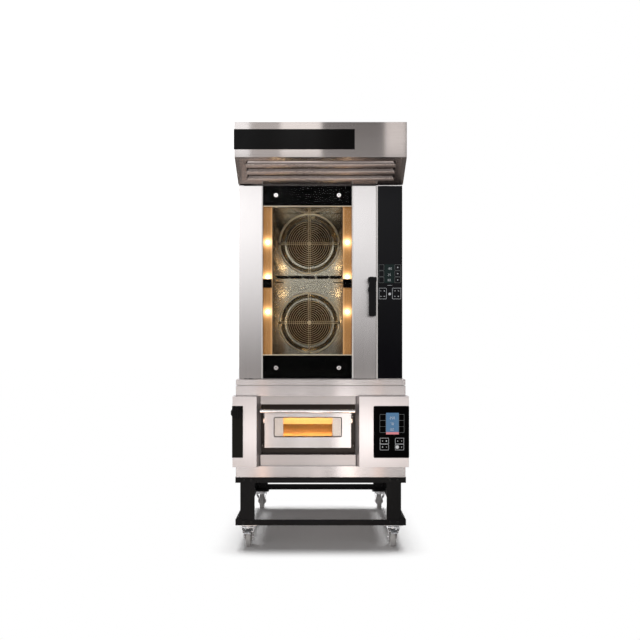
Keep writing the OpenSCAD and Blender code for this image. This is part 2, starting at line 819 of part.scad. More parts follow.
module deck_vent_duct() {
  x_wall = bay_x - chamber_w / 2 - sheet_t;
  color("#8d8a88") placed() {
    difference() {
      union() {
        rod_y(vent_r - pipe_step, shutter_y + 1 + slide_gap, body_d + cut, vent_x, vent_z);
        rod_y(vent_r, body_d, body_d + pipe_out, vent_x, vent_z);
        along_y(shutter_y + 6, shutter_y + 12) {
          translate([knob_x, knob_z]) circle(rod_r + 2.5);
          polygon([[knob_x - 4, knob_z - 4], [knob_x + 4, knob_z + 5], [vent_x + 4, vent_z + vent_r - 1],
            [vent_x - vent_r + 1, vent_z]]);
        }
      }
      rod_y(vent_r - vent_t, shutter_y, body_d + pipe_out + cut, vent_x, vent_z);
      rod_y(rod_r + run_gap, shutter_y, shutter_y + 20, knob_x, knob_z);
    }
    difference() {
      block(knob_x + 20, x_wall, duct_y[0], duct_y[1], duct_z[0], duct_z[1]);
      block(knob_x + 20 + duct_t, x_wall + cut, duct_y[0] + duct_t, duct_y[1] - duct_t,
        duct_z[0] + duct_t, duct_z[1] - duct_t);
      rod_y(vent_r - vent_t, duct_y[1] - 8, shutter_y, vent_x, vent_z);
    }
  }
}

module deck_control_glass() {
  x1 = deck_w / 2 + panel_lap;
  color("#101013") placed() along_y(deck_front - valve_plate_t, deck_front)
    rounded(x1 - touch_w, x1, valve_z0 - 1, valve_z1, 7);
}

// Oven
module oven_base() {
  x = plinth_w / 2;
  step_y = plinth_front + 4;
  groove_h = 4;
  groove_d = 8;
  wall = groove_d + 4;
  groove_z = base_z1 - groove_h;
  color("#b0a7a3") placed() difference() {
    union() {
      block(-x, x, plinth_front, plinth_back, base_z0, groove_z);
      block(-x + groove_d, x - groove_d, step_y + groove_d, plinth_back, groove_z - cut, base_z1 + cut);
      block(-x, x, step_y, plinth_back, base_z1, oven_z0);
    }
    block(-x + wall, x - wall, step_y + wall, plinth_back - 3, base_z0 - cut, oven_z0 - 3);
  }
}

// six sheets with seams between them: two sides, floor, roof, front wall and back panel
module oven_casing() {
  x = oven_w / 2;
  t = sheet_t;
  x1 = x - t - panel_seam;
  color("#b8b0ac") placed() {
    both_sides() block(x - t, x, casing_y, body_d, oven_z0, oven_z1);
    for (z = [oven_z0, oven_z1 - t])
      block(-x1, x1, casing_y + t + panel_seam, body_d - t - panel_seam, z, z + t);
    difference() {
      block(-x1, x1, casing_y, casing_y + t, oven_z0, oven_z1);
      block(x - column_w + t + 8, x - t - 8, casing_y - cut, casing_y + t + cut, oven_z0 + 20, oven_z1 - 20);
      block(cavity_x0 - t, cavity_x1 + t, casing_y - cut, casing_y + t + cut, cavity_z0 - t, cavity_z1 + t);
    }
    difference() {
      block(-x1, x1, body_d - t, body_d, oven_z0, oven_z1);
      rod_y(drain_r - pipe_step + pipe_play, body_d - 10, body_d + cut, cavity_x, drain_z);
      rod_y(gland_r, body_d - 10, body_d + cut, gland_x, gland_z);
      both_sides() vent_slots(100, 300, oven_z0 + 300, 12);
    }
  }
}

// a field of slots in the back panel
module vent_slots(x0, x1, z0, count) {
  for (z = [z0:slot_pitch:z0 + (count - 0.5) * slot_pitch])
    block(x0, x1, body_d - 10, body_d + cut, z, z + slot_h);
}

// the hollow housing beside the door that holds the touch panel
module control_column() {
  x = oven_w / 2;
  t = sheet_t;
  color("#b8b0ac") placed() difference() {
    block(x - column_w, x, glass_t, casing_y, oven_z0, oven_z1);
    block(x - column_w + t, x - t, glass_t + t, casing_y + cut, oven_z0 + t, oven_z1 - t);
  }
}

module oven_cavity() {
  t = sheet_t;
  color("#c9c2b8") placed() difference() {
    union() {
      block(cavity_x0 - t, cavity_x1 + t, casing_y, cavity_y1, cavity_z0 - t, cavity_z1 + t);
      rod_z(drain_r, drain_z - drain_r, cavity_z0, cavity_x, drain_y);
      rod_y(drain_r - pipe_step, drain_y, body_d + cut, cavity_x, drain_z);
      rod_y(drain_r, body_d, body_d + pipe_out, cavity_x, drain_z);
    }
    block(cavity_x0, cavity_x1, casing_y - cut, cavity_y1 - t, cavity_z0, cavity_z1);
    rod_z(drain_r - drain_t, drain_z - drain_r + drain_t, cavity_z0 + cut, cavity_x, drain_y);
    rod_y(drain_r - drain_t, drain_y, body_d + pipe_out + cut, cavity_x, drain_z);
    for (z = fan_z) rod_y(fan_shaft_d / 2 + 3, cavity_y1 - 10, cavity_y1 + cut, cavity_x, z);
  }
}

module insulation() {
  t = sheet_t;
  w = wool_t;
  x0 = bay_x - chamber_w / 2 - t;
  x1 = bay_x + chamber_w / 2 + t;
  color("#c9b458") placed() {
    difference() {
      block(cavity_x0 - t - w, cavity_x1 + t + w, casing_y + t, cavity_y1 + w,
        cavity_z0 - t - w, oven_z1 - t);
      block(cavity_x0 - t, cavity_x1 + t, casing_y, cavity_y1, cavity_z0 - t, cavity_z1 + t);
      rod_z(drain_r, cavity_z0 - w - 10, cavity_z0, cavity_x, drain_y);
      for (z = fan_z) {
        rod_y(fan_shaft_d / 2 + 6, cavity_y1 - cut, cavity_y1 + w + cut, cavity_x, z);
        motor_studs(stud_r, cavity_y1 - cut, cavity_y1 + w + cut, z);
      }
    }
    difference() {
      block(x0 - w, x1 + w, plate_y1, plate_y1 + chamber_d + t + w, chamber_z0 - t - w, chamber_z1 + t + w);
      block(x0, x1, plate_y1 - cut, plate_y1 + chamber_d + t, chamber_z0 - t, chamber_z1 + t);
      block(x0 - w - cut, x0 + cut, duct_y[0], duct_y[1], duct_z[0], duct_z[1]);
    }
  }
}

module motor_studs(r, y0, y1, z) {
  for (dx = [-50, 50], dz = [-50, 50]) rod_y(r, y0, y1, cavity_x + dx, z + dz);
}

module door_gasket() {
  r = 14;
  lap = 6;
  color("#2a2a2a") placed() along_y(casing_y - gasket_t, casing_y) difference() {
    rounded(cavity_x0 - lap - gasket_w, cavity_x1 + lap + gasket_w, cavity_z0 - lap - gasket_w,
      cavity_z1 + lap + gasket_w, r);
    rounded(cavity_x0 - lap, cavity_x1 + lap, cavity_z0 - lap, cavity_z1 + lap, r - 8);
  }
}

module fan_baffle() {
  t = sheet_t;
  side = 22;
  x0 = cavity_x0 + side;
  x1 = cavity_x1 - side;
  slots = 5;
  tick = 10;
  pitch = (x1 - x0 - 16) / slots;
  slot_x = cavity_x - slots / 2 * pitch + tick / 2;
  color("#d2c6b4") placed() {
    difference() {
      block(x0, x1, baffle_y, baffle_y + t, cavity_z0 + 2, cavity_z1 - 2);
      for (z = fan_z) rod_y(dish_r, baffle_y - cut, baffle_y + t + cut, cavity_x, z);
      for (i = [0:slots - 1]) block(slot_x + i * pitch, slot_x + (i + 1) * pitch - tick,
        baffle_y - cut, baffle_y + t + cut, seam_z - 9, seam_z + 9);
    }
    for (z = fan_z) translate([cavity_x, baffle_y, z]) rotate([-90, 0, 0]) rotate_extrude()
      polygon([[dish_r + cut, 0], [dish_r + cut, t], [intake_r + 12, dish_h + t], [intake_r, dish_h + t],
        [intake_r, dish_h], [intake_r + 12, dish_h], [dish_r - 3, 0]]);
    for (x = [x0 + 12, x1 - 12], z = [cavity_z0 + 24, fan_mid, cavity_z1 - 24])
      rod_y(6, baffle_y + cut, cavity_y1 - t, x, z);
  }
}

// rings of wire, carried by paired bars that stand on the baffle around the dish
module fan_guard(z) {
  wire = guard_wire / 2;
  arm = dish_r + 7;
  first = 24;
  step = (guard_r - first) / (guard_rings - 1);
  foot_w = 16;
  color("#c4a878") placed() translate([cavity_x, guard_y, z]) rotate([-90, 0, 0]) {
    for (i = [0:guard_rings - 1]) rotate_extrude() translate([first + i * step, 0]) circle(wire, $fn = 20);
    for (a = [0, 90], d = [-5, 5]) rotate(a) translate([-arm, d - 1.5, wire - 1]) cube([2 * arm, 3, 3]);
    cylinder(r = 13, h = wire + 3);
    for (a = [0:90:270]) rotate(a) translate([arm - 7, -foot_w / 2, wire - 1])
      cube([7, foot_w, baffle_y - guard_y - wire + 1]);
  }
}

module blade() {
  outer = fan_r - 2;
  inner = fan_r - 46;
  lean = 24;
  steps = 5;
  function spot(i, half) = let (r = inner + (outer - inner) * i / steps, a = lean * i / steps)
    [r * cos(a) - half * sin(a), r * sin(a) + half * cos(a)];
  polygon(concat([for (i = [0:steps]) spot(i, 1.25)], [for (i = [steps:-1:0]) spot(i, -1.25)]));
}

module fan_wheel(z) {
  shaft_y0 = wheel_y1 - 30;
  shaft_y1 = motor_y + motor_len - 12;
  color("#9a948c") placed() translate([cavity_x, 0, z]) rotate([-90, 0, 0]) {
    translate([0, 0, wheel_y1 - cut]) cylinder(r = fan_r, h = 3);
    translate([0, 0, wheel_y0]) difference() {
      cylinder(r = fan_r, h = 2.5);
      translate([0, 0, -cut]) cylinder(r = fan_r - 16, h = 5);
    }
    for (i = [0:blade_count - 1]) rotate(i * 360 / blade_count)
      translate([0, 0, wheel_y0 + 1]) linear_extrude(blade_len - 1.5) blade();
    translate([0, 0, wheel_y1 - 26]) cylinder(r = 26, h = 28);
    translate([0, 0, wheel_y1 - 34]) cylinder(r = 12, h = 10);
    translate([0, 0, shaft_y0]) cylinder(r = fan_shaft_d / 2, h = shaft_y1 - shaft_y0);
  }
}

module fan_motors() {
  color("#6c7076") placed() for (z = fan_z) difference() {
    union() {
      rod_y(motor_d / 2 - 8, motor_y, motor_y + motor_len, cavity_x, z);
      rod_y(motor_d / 2 + 12, motor_y, motor_y + 8, cavity_x, z);
      for (i = [0:11]) translate([cavity_x, motor_y + 20, z]) rotate([0, i * 30, 0])
        translate([motor_d / 2 - 12, 0, -2]) cube([12, motor_len - 34, 4]);
      block(cavity_x - 34, cavity_x + 34, motor_y + 34, motor_y + 104,
        z + motor_d / 2 - 12, z + motor_d / 2 + 26);
      motor_studs(stud_r, cavity_y1, motor_y + 4, z);
    }
    rod_y(fan_shaft_d / 2 + run_gap, motor_y - cut, motor_y + motor_len - 10, cavity_x, z);
  }
}

module heater_rings() {
  r = 4.5;
  pitch = 18;
  color("#5b4a3c") placed() for (z = fan_z) {
    for (i = [0:2]) translate([cavity_x, wheel_y0 + 6 + i * pitch, z]) rotate([-90, 0, 0])
      rotate_extrude() translate([heater_r, 0]) circle(r, $fn = 24);
    for (a = [-50, 50, 130, 230]) translate([cavity_x, wheel_y0 + 6, z]) rotate([-90, a, 0])
      translate([heater_r, 0, 0]) cylinder(r = r - 1, h = cavity_y1 - sheet_t - wheel_y0 - 6);
  }
}

module tray_racks() {
  wide = 34;
  pitch = 80;
  post_x = cavity_w / 2 - 6;
  guide_x = post_x - panel_seam - 2;
  z0 = cavity_z - (levels - 1) * pitch / 2 - 6;
  color("#bdb6aa") placed() translate([cavity_x, 0, 0]) both_sides() {
    for (y = [casing_y + 26, baffle_y - 60])
      block(post_x, cavity_w / 2, y, y + 9, cavity_z0, cavity_z1 - 10);
    for (i = [0:levels - 1]) {
      z = z0 + i * pitch;
      block(cavity_w / 2 - wide, guide_x - panel_seam, casing_y + 20, baffle_y - 46, z, z + 2);
      block(guide_x, guide_x + 2, casing_y + 20, baffle_y - 46, z, z + 14);
    }
  }
}

module control_glass() {
  x1 = oven_w / 2 - 1;
  color("#15151a") placed() along_y(0, glass_t) rounded(x1 - column_w + 8, x1, door_z0, door_z1, 2);
}

// Oven door
module door_frame() {
  t = skin_t;
  end = 44;
  color("#cdc7c4") placed() difference() {
    block(door_x0, door_x1, 0, door_t, door_z0, door_z1);
    block(window_x0 - cut, window_x1 + cut, -cut, rail_y, door_z0 - cut, door_z1 + cut);
    block(window_x0, window_x1, -cut, door_t + cut, window_z0, window_z1);
    block(window_x0 - glass_lap, window_x1 + glass_lap, inner_y, door_t + cut,
      window_z0 - glass_lap, window_z1 + glass_lap);
    block(door_x0 + t, window_x0 - glass_lap - t, t, door_t - t, door_z0 + end, door_z1 - end);
    block(window_x1 + glass_lap + t, door_x1 - t, t, door_t - t, door_z0 + end, door_z1 - end);
    for (z = [[window_z1 + glass_lap + 8, door_z1 - 8], [door_z0 + 8, window_z0 - glass_lap - 8]])
      block(window_x0 + 20, window_x1 - 20, rail_y + t + 16, door_t + cut, z[0], z[1]);
    for (x = [door_x0 + 40, door_x1 - 40]) rod_z(4, door_z0 - cut, door_z0 + end + cut, x, door_t / 2);
    rod_z(hinge_r + run_gap, door_z0 - cut, door_z0 + pin_len + 1, pivot_x, pivot_y);
    rod_z(hinge_r + run_gap, door_z1 - pin_len - 1, door_z1 + cut, pivot_x, pivot_y);
    rod_y(lever_r + run_gap, -cut, door_t + cut, lever_x, lever_z);
    for (x = standoff_x, z = standoff_z) rod_y(4, rail_y - cut, rail_y + 14, x, z);
  }
}

module door_outer_glass() {
  color("#0a0a0c", 0.35) placed() difference() {
    block(window_x0 + 0.5, window_x1 - 0.5, glass_y, glass_y + glass_t, door_z0, door_z1);
    for (x = standoff_x, z = standoff_z) rod_y(5.3, -cut, rail_y, x, z);
  }
}

module door_inner_glass() {
  lap = glass_lap - 0.3;
  color("#9fb0a8", 0.3) placed()
    block(window_x0 - lap, window_x1 + lap, inner_y, inner_y + glass_t, window_z0 - lap, window_z1 + lap);
}

module door_standoffs() {
  color("#d8d8d8") placed() for (x = standoff_x, z = standoff_z) {
    translate([x, glass_y, z]) rotate([90, 0, 0]) rotate_extrude()
      polygon([[0, 0], [standoff_d / 2, 0], [standoff_d / 2, 4], [standoff_d / 2 - 2, 6], [0, 6]]);
    rod_y(5, glass_y - cut, rail_y, x, z);
    rod_y(4, rail_y - cut, rail_y + 12, x, z);
    rod_y(9, glass_y + glass_t, rail_y, x, z);
  }
}

// trough reflectors between the two glasses, one beside each stile
module lamp_trough() {
  y0 = rail_y + 2;
  y1 = inner_y - 2;
  difference() {
    block(0, lamp_w, y0, y1, window_z0, window_z1);
    block(2, lamp_w + cut, y0 - cut, y1 - 2, window_z0 - cut, window_z1 + cut);
  }
  block(lamp_w - 2, lamp_w, y1 - 8, y1, window_z0, window_z1);
}

module door_lamp_columns() {
  color("#d8b777") placed() {
    translate([window_x0, 0, 0]) lamp_trough();
    translate([window_x1, 0, 0]) mirror([1, 0, 0]) lamp_trough();
  }
}

module door_lamps() {
  y1 = inner_y - 4;
  color("#ffe9b0") placed() for (x = [window_x0 + lamp_w / 2, window_x1 - lamp_w / 2], z = lamp_z) {
    rod_y(9, y1 - 5, y1, x, z);
    rod_y(5, y1 - 16, y1 - 4, x, z);
    translate([x, y1 - 16, z]) sphere(5);
  }
}

// grip, head, shaft and the cam at the inner end of the shaft
module door_handle() {
  y0 = -lever_gap - lever_t;
  top = 14;
  lug_z = [-62, -40];
  color("#0d0d0e") placed() {
    along_y(y0, -lever_gap) translate([lever_x, lever_z])
      rounded(-lever_w / 2, lever_w / 2, -lever_len, 0, 7);
    along_y(y0, -lever_gap + 6) translate([lever_x, lever_z]) rounded(-22, 22, -12, top, 6);
    along_y(y0 + 5, -lever_gap - 4) translate([lever_x, lever_z])
      rounded(-lever_w / 2 - 4, 0, lug_z[0], lug_z[1], 3);
    rod_y(lever_r + 7, -lever_gap, -slide_gap - 6, lever_x, lever_z);
    rod_y(lever_r + 12, -8, -slide_gap, lever_x, lever_z);
    rod_y(lever_r, -10, door_t + 0.5, lever_x, lever_z);
  }
}

module hinge_arm(z0, z1) {
  difference() {
    block(door_x0, door_x0 + 60, pivot_y - 14, casing_y, z0, z1);
    translate([0, 0, z0 - cut]) linear_extrude(z1 - z0 + 2 * cut)
      polygon([[pivot_x + 14, pivot_y - 15], [door_x0 + 61, pivot_y - 15], [door_x0 + 61, casing_y - 10]]);
  }
}

module door_hinges() {
  color("#9d9b99") placed() {
    hinge_arm(oven_z0, door_z0 - slide_gap);
    rod_z(hinge_r, door_z0 - slide_gap - cut, door_z0 + pin_len, pivot_x, pivot_y);
    hinge_arm(door_z1 + slide_gap, oven_z1);
    rod_z(hinge_r, door_z1 - pin_len, door_z1 + slide_gap + cut, pivot_x, pivot_y);
    difference() {
      block(lever_x - 24, lever_x + 20, door_t + door_gap - 2.5, casing_y, lever_z - 30, lever_z + 30);
      rod_y(lever_r + 3, door_t, casing_y + cut, lever_x, lever_z);
    }
  }
}

// Hood
// side outline in (y, z), drawn in from the outer faces by t
module hood_outline(t) {
  lean = t / cos(slope_angle);
  polygon([[-hood_out + t, hood_z1 - t], [-hood_out + t, fascia_z + lean - t * tan(slope_angle)],
    [lip_y + t * tan(slope_angle / 2), lip_z + t], [casing_y + t, lip_z + t], [casing_y + t, hood_z0 + t],
    [hood_back - t, hood_z0 + t], [hood_back - t, hood_z1 - t]]);
}

// places its child on the sloping face: x across, y down the slope, z outwards
module on_slope() {
  translate([0, -hood_out, fascia_z]) rotate([-slope_angle, 0, 0]) mirror([0, 0, 1]) children();
}

module hood_shell() {
  t = sheet_t;
  x = hood_w / 2;
  color("#c2b9b4") placed() difference() {
    union() {
      difference() {
        along_x(-x, x) hood_outline(0);
        along_x(-x + t, x - t) hood_outline(t);
      }
      rod_z(collar_r, hood_z1 - cut, hood_z1 + collar_h, 0, collar_y);
    }
    rod_z(collar_r - collar_t, hood_z1 - 20, hood_z1 + collar_h + cut, 0, collar_y);
    on_slope() translate([-x + cheek_w, 10, -8]) cube([2 * (x - cheek_w), slope_len - 22, 16]);
  }
}

module hood_strip() {
  x0 = -hood_w / 2 - 3;
  z1 = hood_z1 - 36;
  color("#0e0e0f") placed() block(x0, x0 + strip_w, -hood_out - strip_t, -hood_out, z1 - strip_h, z1);
}

// side shape of a lip in (y, z): an arc from the upper edge of its slot, open towards the rear
module louvre_arc() {
  lip_t = 2;
  sink = 7;
  intersection() {
    translate([louvre_h, -sink]) difference() {
      circle(louvre_rise + sink);
      circle(louvre_rise + sink - lip_t);
    }
    translate([-2 * cut, -lip_t]) square([louvre_h + 2 * cut, louvre_rise + lip_t]);
  }
}

// a plate with long louvres; the slots run past the rounded ends of their lips
module hood_louvre() {
  x = hood_w / 2 - cheek_w;
  plate = 2;
  end_gap = 9;
  end_r = 20;
  lip_x = louvre_w / 2 - end_gap;
  color("#8f8681") placed() on_slope() {
    difference() {
      translate([-x, 10, -plate]) cube([2 * x, slope_len - 22, plate]);
      for (i = [0:louvre_count - 1]) translate([0, louvre_y + i * louvre_pitch, -cut - plate])
        linear_extrude(2 * plate) rounded(-louvre_w / 2, louvre_w / 2, 0, louvre_h, 6);
    }
    for (i = [0:louvre_count - 1]) translate([0, louvre_y + i * louvre_pitch, 0]) intersection() {
      along_x(-lip_x, lip_x) louvre_arc();
      translate([0, 0, -plate]) linear_extrude(louvre_rise + 2 * plate)
        rounded(-lip_x, lip_x, -2 * cut, louvre_h + 2 * end_r, end_r);
    }
  }
}

module hood_filter() {
  x = hood_w / 2 - cheek_w - 12;
  len = slope_len - 50;
  bars = 24;
  pitch = 2 * (x - 14) / bars;
  color("#8c8a88") placed() on_slope() translate([0, 24, -16]) {
    difference() {
      translate([-x, 0, 0]) cube([2 * x, len, 14]);
      for (i = [0:bars - 1]) translate([-x + 14 + i * pitch + 4, 12, -cut]) cube([pitch - 8, len - 24, 16]);
    }
  }
}

// motor, and a drum that guides the air from the wheel into the collar
module hood_blower() {
  r = blower_case_r;
  z0 = hood_z0 + sheet_t;
  wheel_z = hood_z1 - sheet_t - blower_h - 30;
  color("#7c7f82") placed() translate([0, collar_y, 0]) difference() {
    union() {
      rod_z(r, wheel_z - 12, hood_z1 - sheet_t, 0, 0);
      rod_z(45, z0, wheel_z - 20, 0, 0);
      for (a = [0:120:240]) rotate(a) translate([60, -6, z0]) cube([12, 12, wheel_z - 12 - z0 + cut]);
    }
    rod_z(r - 2, wheel_z - 10, hood_z1 - sheet_t - 2, 0, 0);
    rod_z(collar_r - collar_t, hood_z1 - sheet_t - 10, hood_z1 + cut, 0, 0);
    rod_z(50, wheel_z - 13, wheel_z, 0, 0);
    rod_z(6 + run_gap, z0 + 10, wheel_z - 12, 0, 0);
  }
}

module hood_blower_wheel() {
  wheel_z = hood_z1 - sheet_t - blower_h - 30;
  z0 = hood_z0 + sheet_t;
  color("#a5a8aa") placed() translate([0, collar_y, 0]) {
    rod_z(blower_r, wheel_z, wheel_z + 2.5, 0, 0);
    difference() {
      rod_z(blower_r, wheel_z + blower_h - 2, wheel_z + blower_h, 0, 0);
      rod_z(blower_r - 14, wheel_z + blower_h - 4, wheel_z + blower_h + cut, 0, 0);
    }
    for (i = [0:blade_count - 1]) rotate(i * 360 / blade_count) translate([blower_r - 15, -1, wheel_z + 1])
      cube([14, 2, blower_h - 2]);
    rod_z(16, wheel_z, wheel_z + 22, 0, 0);
    rod_z(6, z0 + 12, wheel_z + 1, 0, 0);
  }
}

stand_top_frame();
stand_legs();
stand_lower_frame();
stand_bolts();
caster_plates();
at_caster(0) fork();  // caster_fork_front_left
at_caster(1) fork();  // caster_fork_front_right
at_caster(2) fork();  // caster_fork_rear_left
at_caster(3) fork();  // caster_fork_rear_right
at_caster(0) caster_wheel();  // caster_wheel_front_left
at_caster(1) caster_wheel();  // caster_wheel_front_right
at_caster(2) caster_wheel();  // caster_wheel_rear_left
at_caster(3) caster_wheel();  // caster_wheel_rear_right
at_caster(0) caster_brake();  // caster_brake_left
at_caster(1) caster_brake();  // caster_brake_right
deck_plinth();
deck_casing();
deck_pillar_left();
deck_pillar_right();
deck_fascias();
deck_chamber();
deck_stone();
deck_heaters();
deck_door_panel();
deck_door_liner();
deck_door_glass();
deck_door_handle();
deck_valve_plate();
deck_valve_knob();
deck_vent_duct();
deck_control_glass();
oven_base();
oven_casing();
oven_cavity();
insulation();
door_gasket();
fan_baffle();
fan_guard(fan_z[0]);  // fan_guard_upper
fan_guard(fan_z[1]);  // fan_guard_lower
fan_wheel(fan_z[0]);  // fan_wheel_upper
fan_wheel(fan_z[1]);  // fan_wheel_lower
fan_motors();
heater_rings();
tray_racks();
control_column();
control_glass();
door_frame();
door_outer_glass();
door_inner_glass();
door_lamp_columns();
door_lamps();
door_standoffs();
door_handle();
door_hinges();
hood_shell();
hood_strip();
hood_louvre();
hood_filter();
hood_blower();
hood_blower_wheel();
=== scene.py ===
# Baking tower: a convection oven under a hood, on a deck oven and a stand with casters.
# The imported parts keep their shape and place. This script gives them their finish, and adds prints, seals
# and screws.
import math

import bpy
from mathutils import Matrix, Vector


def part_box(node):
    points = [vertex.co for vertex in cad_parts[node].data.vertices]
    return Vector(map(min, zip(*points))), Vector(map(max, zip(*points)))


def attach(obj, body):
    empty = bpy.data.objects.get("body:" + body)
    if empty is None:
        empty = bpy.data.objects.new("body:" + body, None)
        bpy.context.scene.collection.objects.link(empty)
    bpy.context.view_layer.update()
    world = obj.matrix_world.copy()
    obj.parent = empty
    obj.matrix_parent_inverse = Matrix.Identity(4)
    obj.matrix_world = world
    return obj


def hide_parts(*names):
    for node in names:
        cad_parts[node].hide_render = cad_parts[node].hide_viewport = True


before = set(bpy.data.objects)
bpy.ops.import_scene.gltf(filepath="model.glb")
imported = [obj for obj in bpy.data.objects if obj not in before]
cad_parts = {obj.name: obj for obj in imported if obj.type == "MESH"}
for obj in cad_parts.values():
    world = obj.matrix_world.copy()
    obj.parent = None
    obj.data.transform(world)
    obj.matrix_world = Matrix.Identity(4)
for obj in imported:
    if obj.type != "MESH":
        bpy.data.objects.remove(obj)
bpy.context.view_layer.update()  # sizes of the door and its glass, read from the imported parts
mm = 0.001
doorLow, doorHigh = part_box("door_frame")
glassLow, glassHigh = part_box("door_outer_glass")
innerLow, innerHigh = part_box("door_inner_glass")
windowMiddle = (innerLow.x + innerHigh.x) / 2


# short names for the building of shader and geometry trees
def add(tree, kind, feeds=(), **settings):
    made = tree.nodes.new(kind)
    for key, value in settings.items():
        setattr(made, key, value)
    for key, value in dict(feeds).items():
        if isinstance(value, bpy.types.NodeSocket):
            tree.links.new(value, made.inputs[key])
        else:
            made.inputs[key].default_value = value
    return made


def shade(tree, kind, feeds=(), **settings):
    return add(tree, "ShaderNode" + kind, feeds, **settings)


def wire(tree, inputs, feeds):
    for label, value in feeds.items():
        tree.links.new(value, inputs[label])


def calc(tree, operation, *values):
    return shade(tree, "Math", dict(enumerate(values)), operation=operation).outputs[0]


def vector(tree, operation, *values):
    return shade(tree, "VectorMath", dict(enumerate(values)), operation=operation).outputs


def ranged(tree, value, start, end, low=0.0, high=1.0):
    feeds = {"Value": value, "From Min": start, "From Max": end, "To Min": low, "To Max": high}
    return shade(tree, "MapRange", feeds).outputs[0]


def objectPlace(tree):
    return shade(tree, "TexCoord").outputs["Object"]


def addObject(name, data):
    made = bpy.data.objects.new(name, data)
    bpy.context.collection.objects.link(made)
    return made


def newGroup(name, kind, takes, gives):
    tree = bpy.data.node_groups.new(name, kind)
    for label, form, value in takes:
        socket = tree.interface.new_socket(name=label, in_out="INPUT", socket_type="NodeSocket" + form)
        if value is not None:
            socket.default_value = value
    for label, form in gives:
        tree.interface.new_socket(name=label, in_out="OUTPUT", socket_type="NodeSocket" + form)
    return tree, tree.nodes.new("NodeGroupInput").outputs, tree.nodes.new("NodeGroupOutput").inputs


def placeGroup(tree, group, feeds=()):
    return shade(tree, "Group", feeds, node_tree=group).outputs


def setRamp(node, stops):
    elements = node.color_ramp.elements
    while len(elements) < len(stops):
        elements.new(0.5)
    for element, (place, colour) in zip(elements, stops):
        element.position = place
        element.color = (*colour, 1)
    return node.outputs["Color"]


def colourMix(tree, share, first, second):
    mix = shade(tree, "Mix", {"Factor": share}, data_type="RGBA")
    for key, value in ((6, first), (7, second)):
        if isinstance(value, bpy.types.NodeSocket):
            tree.links.new(value, mix.inputs[key])
        else:
            mix.inputs[key].default_value = (*value, 1)
    return mix.outputs[2]


# camera: straight on, from the height of the door lever
viewSet = {
    "distance": 3.9,  # from the face of the oven door
    "height": 1.065,
    "lens": 42.19,
    "shift": 0.039,
}


def makeCamera():
    data = bpy.data.cameras.new("view")
    data.lens = viewSet["lens"]
    data.shift_y = viewSet["shift"]
    camera = addObject("view", data)
    camera.location = (0, doorLow.y - viewSet["distance"], viewSet["height"])
    camera.rotation_euler = (math.radians(90), 0, 0)
    bpy.context.scene.camera = camera


# studio: a room that is bright overhead and dim near the ground, soft boxes, and tall strips near the front
studioSet = {
    "floorSize": 60,
    "floorWhite": (0.95, 0.95, 0.95),
    "floorMiddle": (0.0, 0.07, 0.0),
    "floorHalf": (0.40, 0.50, 9.0),  # the floor is matt under the tower, and turns to plain white round it
    "fade": 0.20,
    "diffuseShare": 0.12,  # of the room's light that reaches matt surfaces
    "sideSpan": 0.30,
    "leftLevel": 1.45,  # the room is a little brighter on the left
    "rightLevel": 0.6,
    "skyStops": [
        (0.00, (0.40, 0.36, 0.34)), (0.25, (0.34, 0.31, 0.295)), (0.40, (0.48, 0.45, 0.44)),
        (0.455, (0.44, 0.41, 0.40)), (0.478, (0.10, 0.09, 0.085)), (0.490, (0.20, 0.18, 0.175)),
        (0.505, (0.55, 0.53, 0.53)), (0.5193, (0.86, 0.845, 0.85)), (0.5405, (1.24, 1.235, 1.25)),
        (0.582, (1.80, 1.80, 1.83)), (0.604, (2.30, 2.31, 2.35)), (0.611, (1.30, 1.29, 1.29)),
        (0.619, (0.17, 0.155, 0.15)), (0.634, (0.24, 0.225, 0.22)), (0.650, (0.62, 0.60, 0.595)),
        (0.69, (0.42, 0.405, 0.40)), (1.00, (0.45, 0.45, 0.46)),
    ],
}
softBoxes = {  # place, aim, width, height, power, colour
    "keyBox": ((-2.6, -4.4, 3.2), (0, -0.3, 1.2), 2.0, 2.2, 12, (1.0, 0.99, 0.98)),
    "fillBox": ((3.0, -3.8, 2.2), (0, -0.3, 1.1), 1.4, 2.2, 4, (1.0, 0.97, 0.95)),
    "casterBox": ((0.0, -2.6, 0.35), (0, -0.4, 0.08), 1.6, 0.25, 5, (1.0, 0.99, 0.98)),
    "topBox": ((0.0, 0.75, 4.3), (0, 0.75, 0.0), 4.2, 2.2, 330, (1.0, 1.0, 1.0)),
}
stripDistance = 1.0  # in front of the oven door
strips = {  # place across, width, middle height, height, brightness, colour
    "peachLeft": (-0.373, 0.035, 0.40, 0.80, 1.2, (1.0, 0.58, 0.36)),
    "peachRight": (0.380, 0.045, 0.40, 0.80, 0.9, (1.0, 0.58, 0.36)),
    "whiteLeft": (-0.118, 0.05, 0.40, 0.80, 0.35, (1.0, 0.98, 0.97)),
    "whiteRight": (0.165, 0.12, 0.40, 0.80, 1.5, (1.0, 0.99, 0.98)),
    "whiteWide": (0.30, 0.20, 0.40, 0.80, 0.7, (1.0, 0.98, 0.97)),
    "whiteEnd": (0.53, 0.20, 0.64, 0.32, 0.5, (1.0, 0.97, 0.95)),
    "pillarLeft": (-0.49, 0.16, 0.69, 0.14, 0.9, (1.0, 0.97, 0.96)),
    "hoodCool": (-0.48, 0.11, 2.45, 0.5, 3.1, (0.92, 0.96, 1.0)),
    "hoodFill": (-0.33, 0.18, 2.45, 0.5, 0.9, (1.0, 0.97, 0.96)),
    "hoodWhite": (-0.115, 0.25, 2.45, 0.5, 2.5, (1.0, 0.99, 0.98)),
    "hoodEnd": (0.46, 0.13, 2.45, 0.5, 1.8, (1.0, 0.97, 0.96)),
}
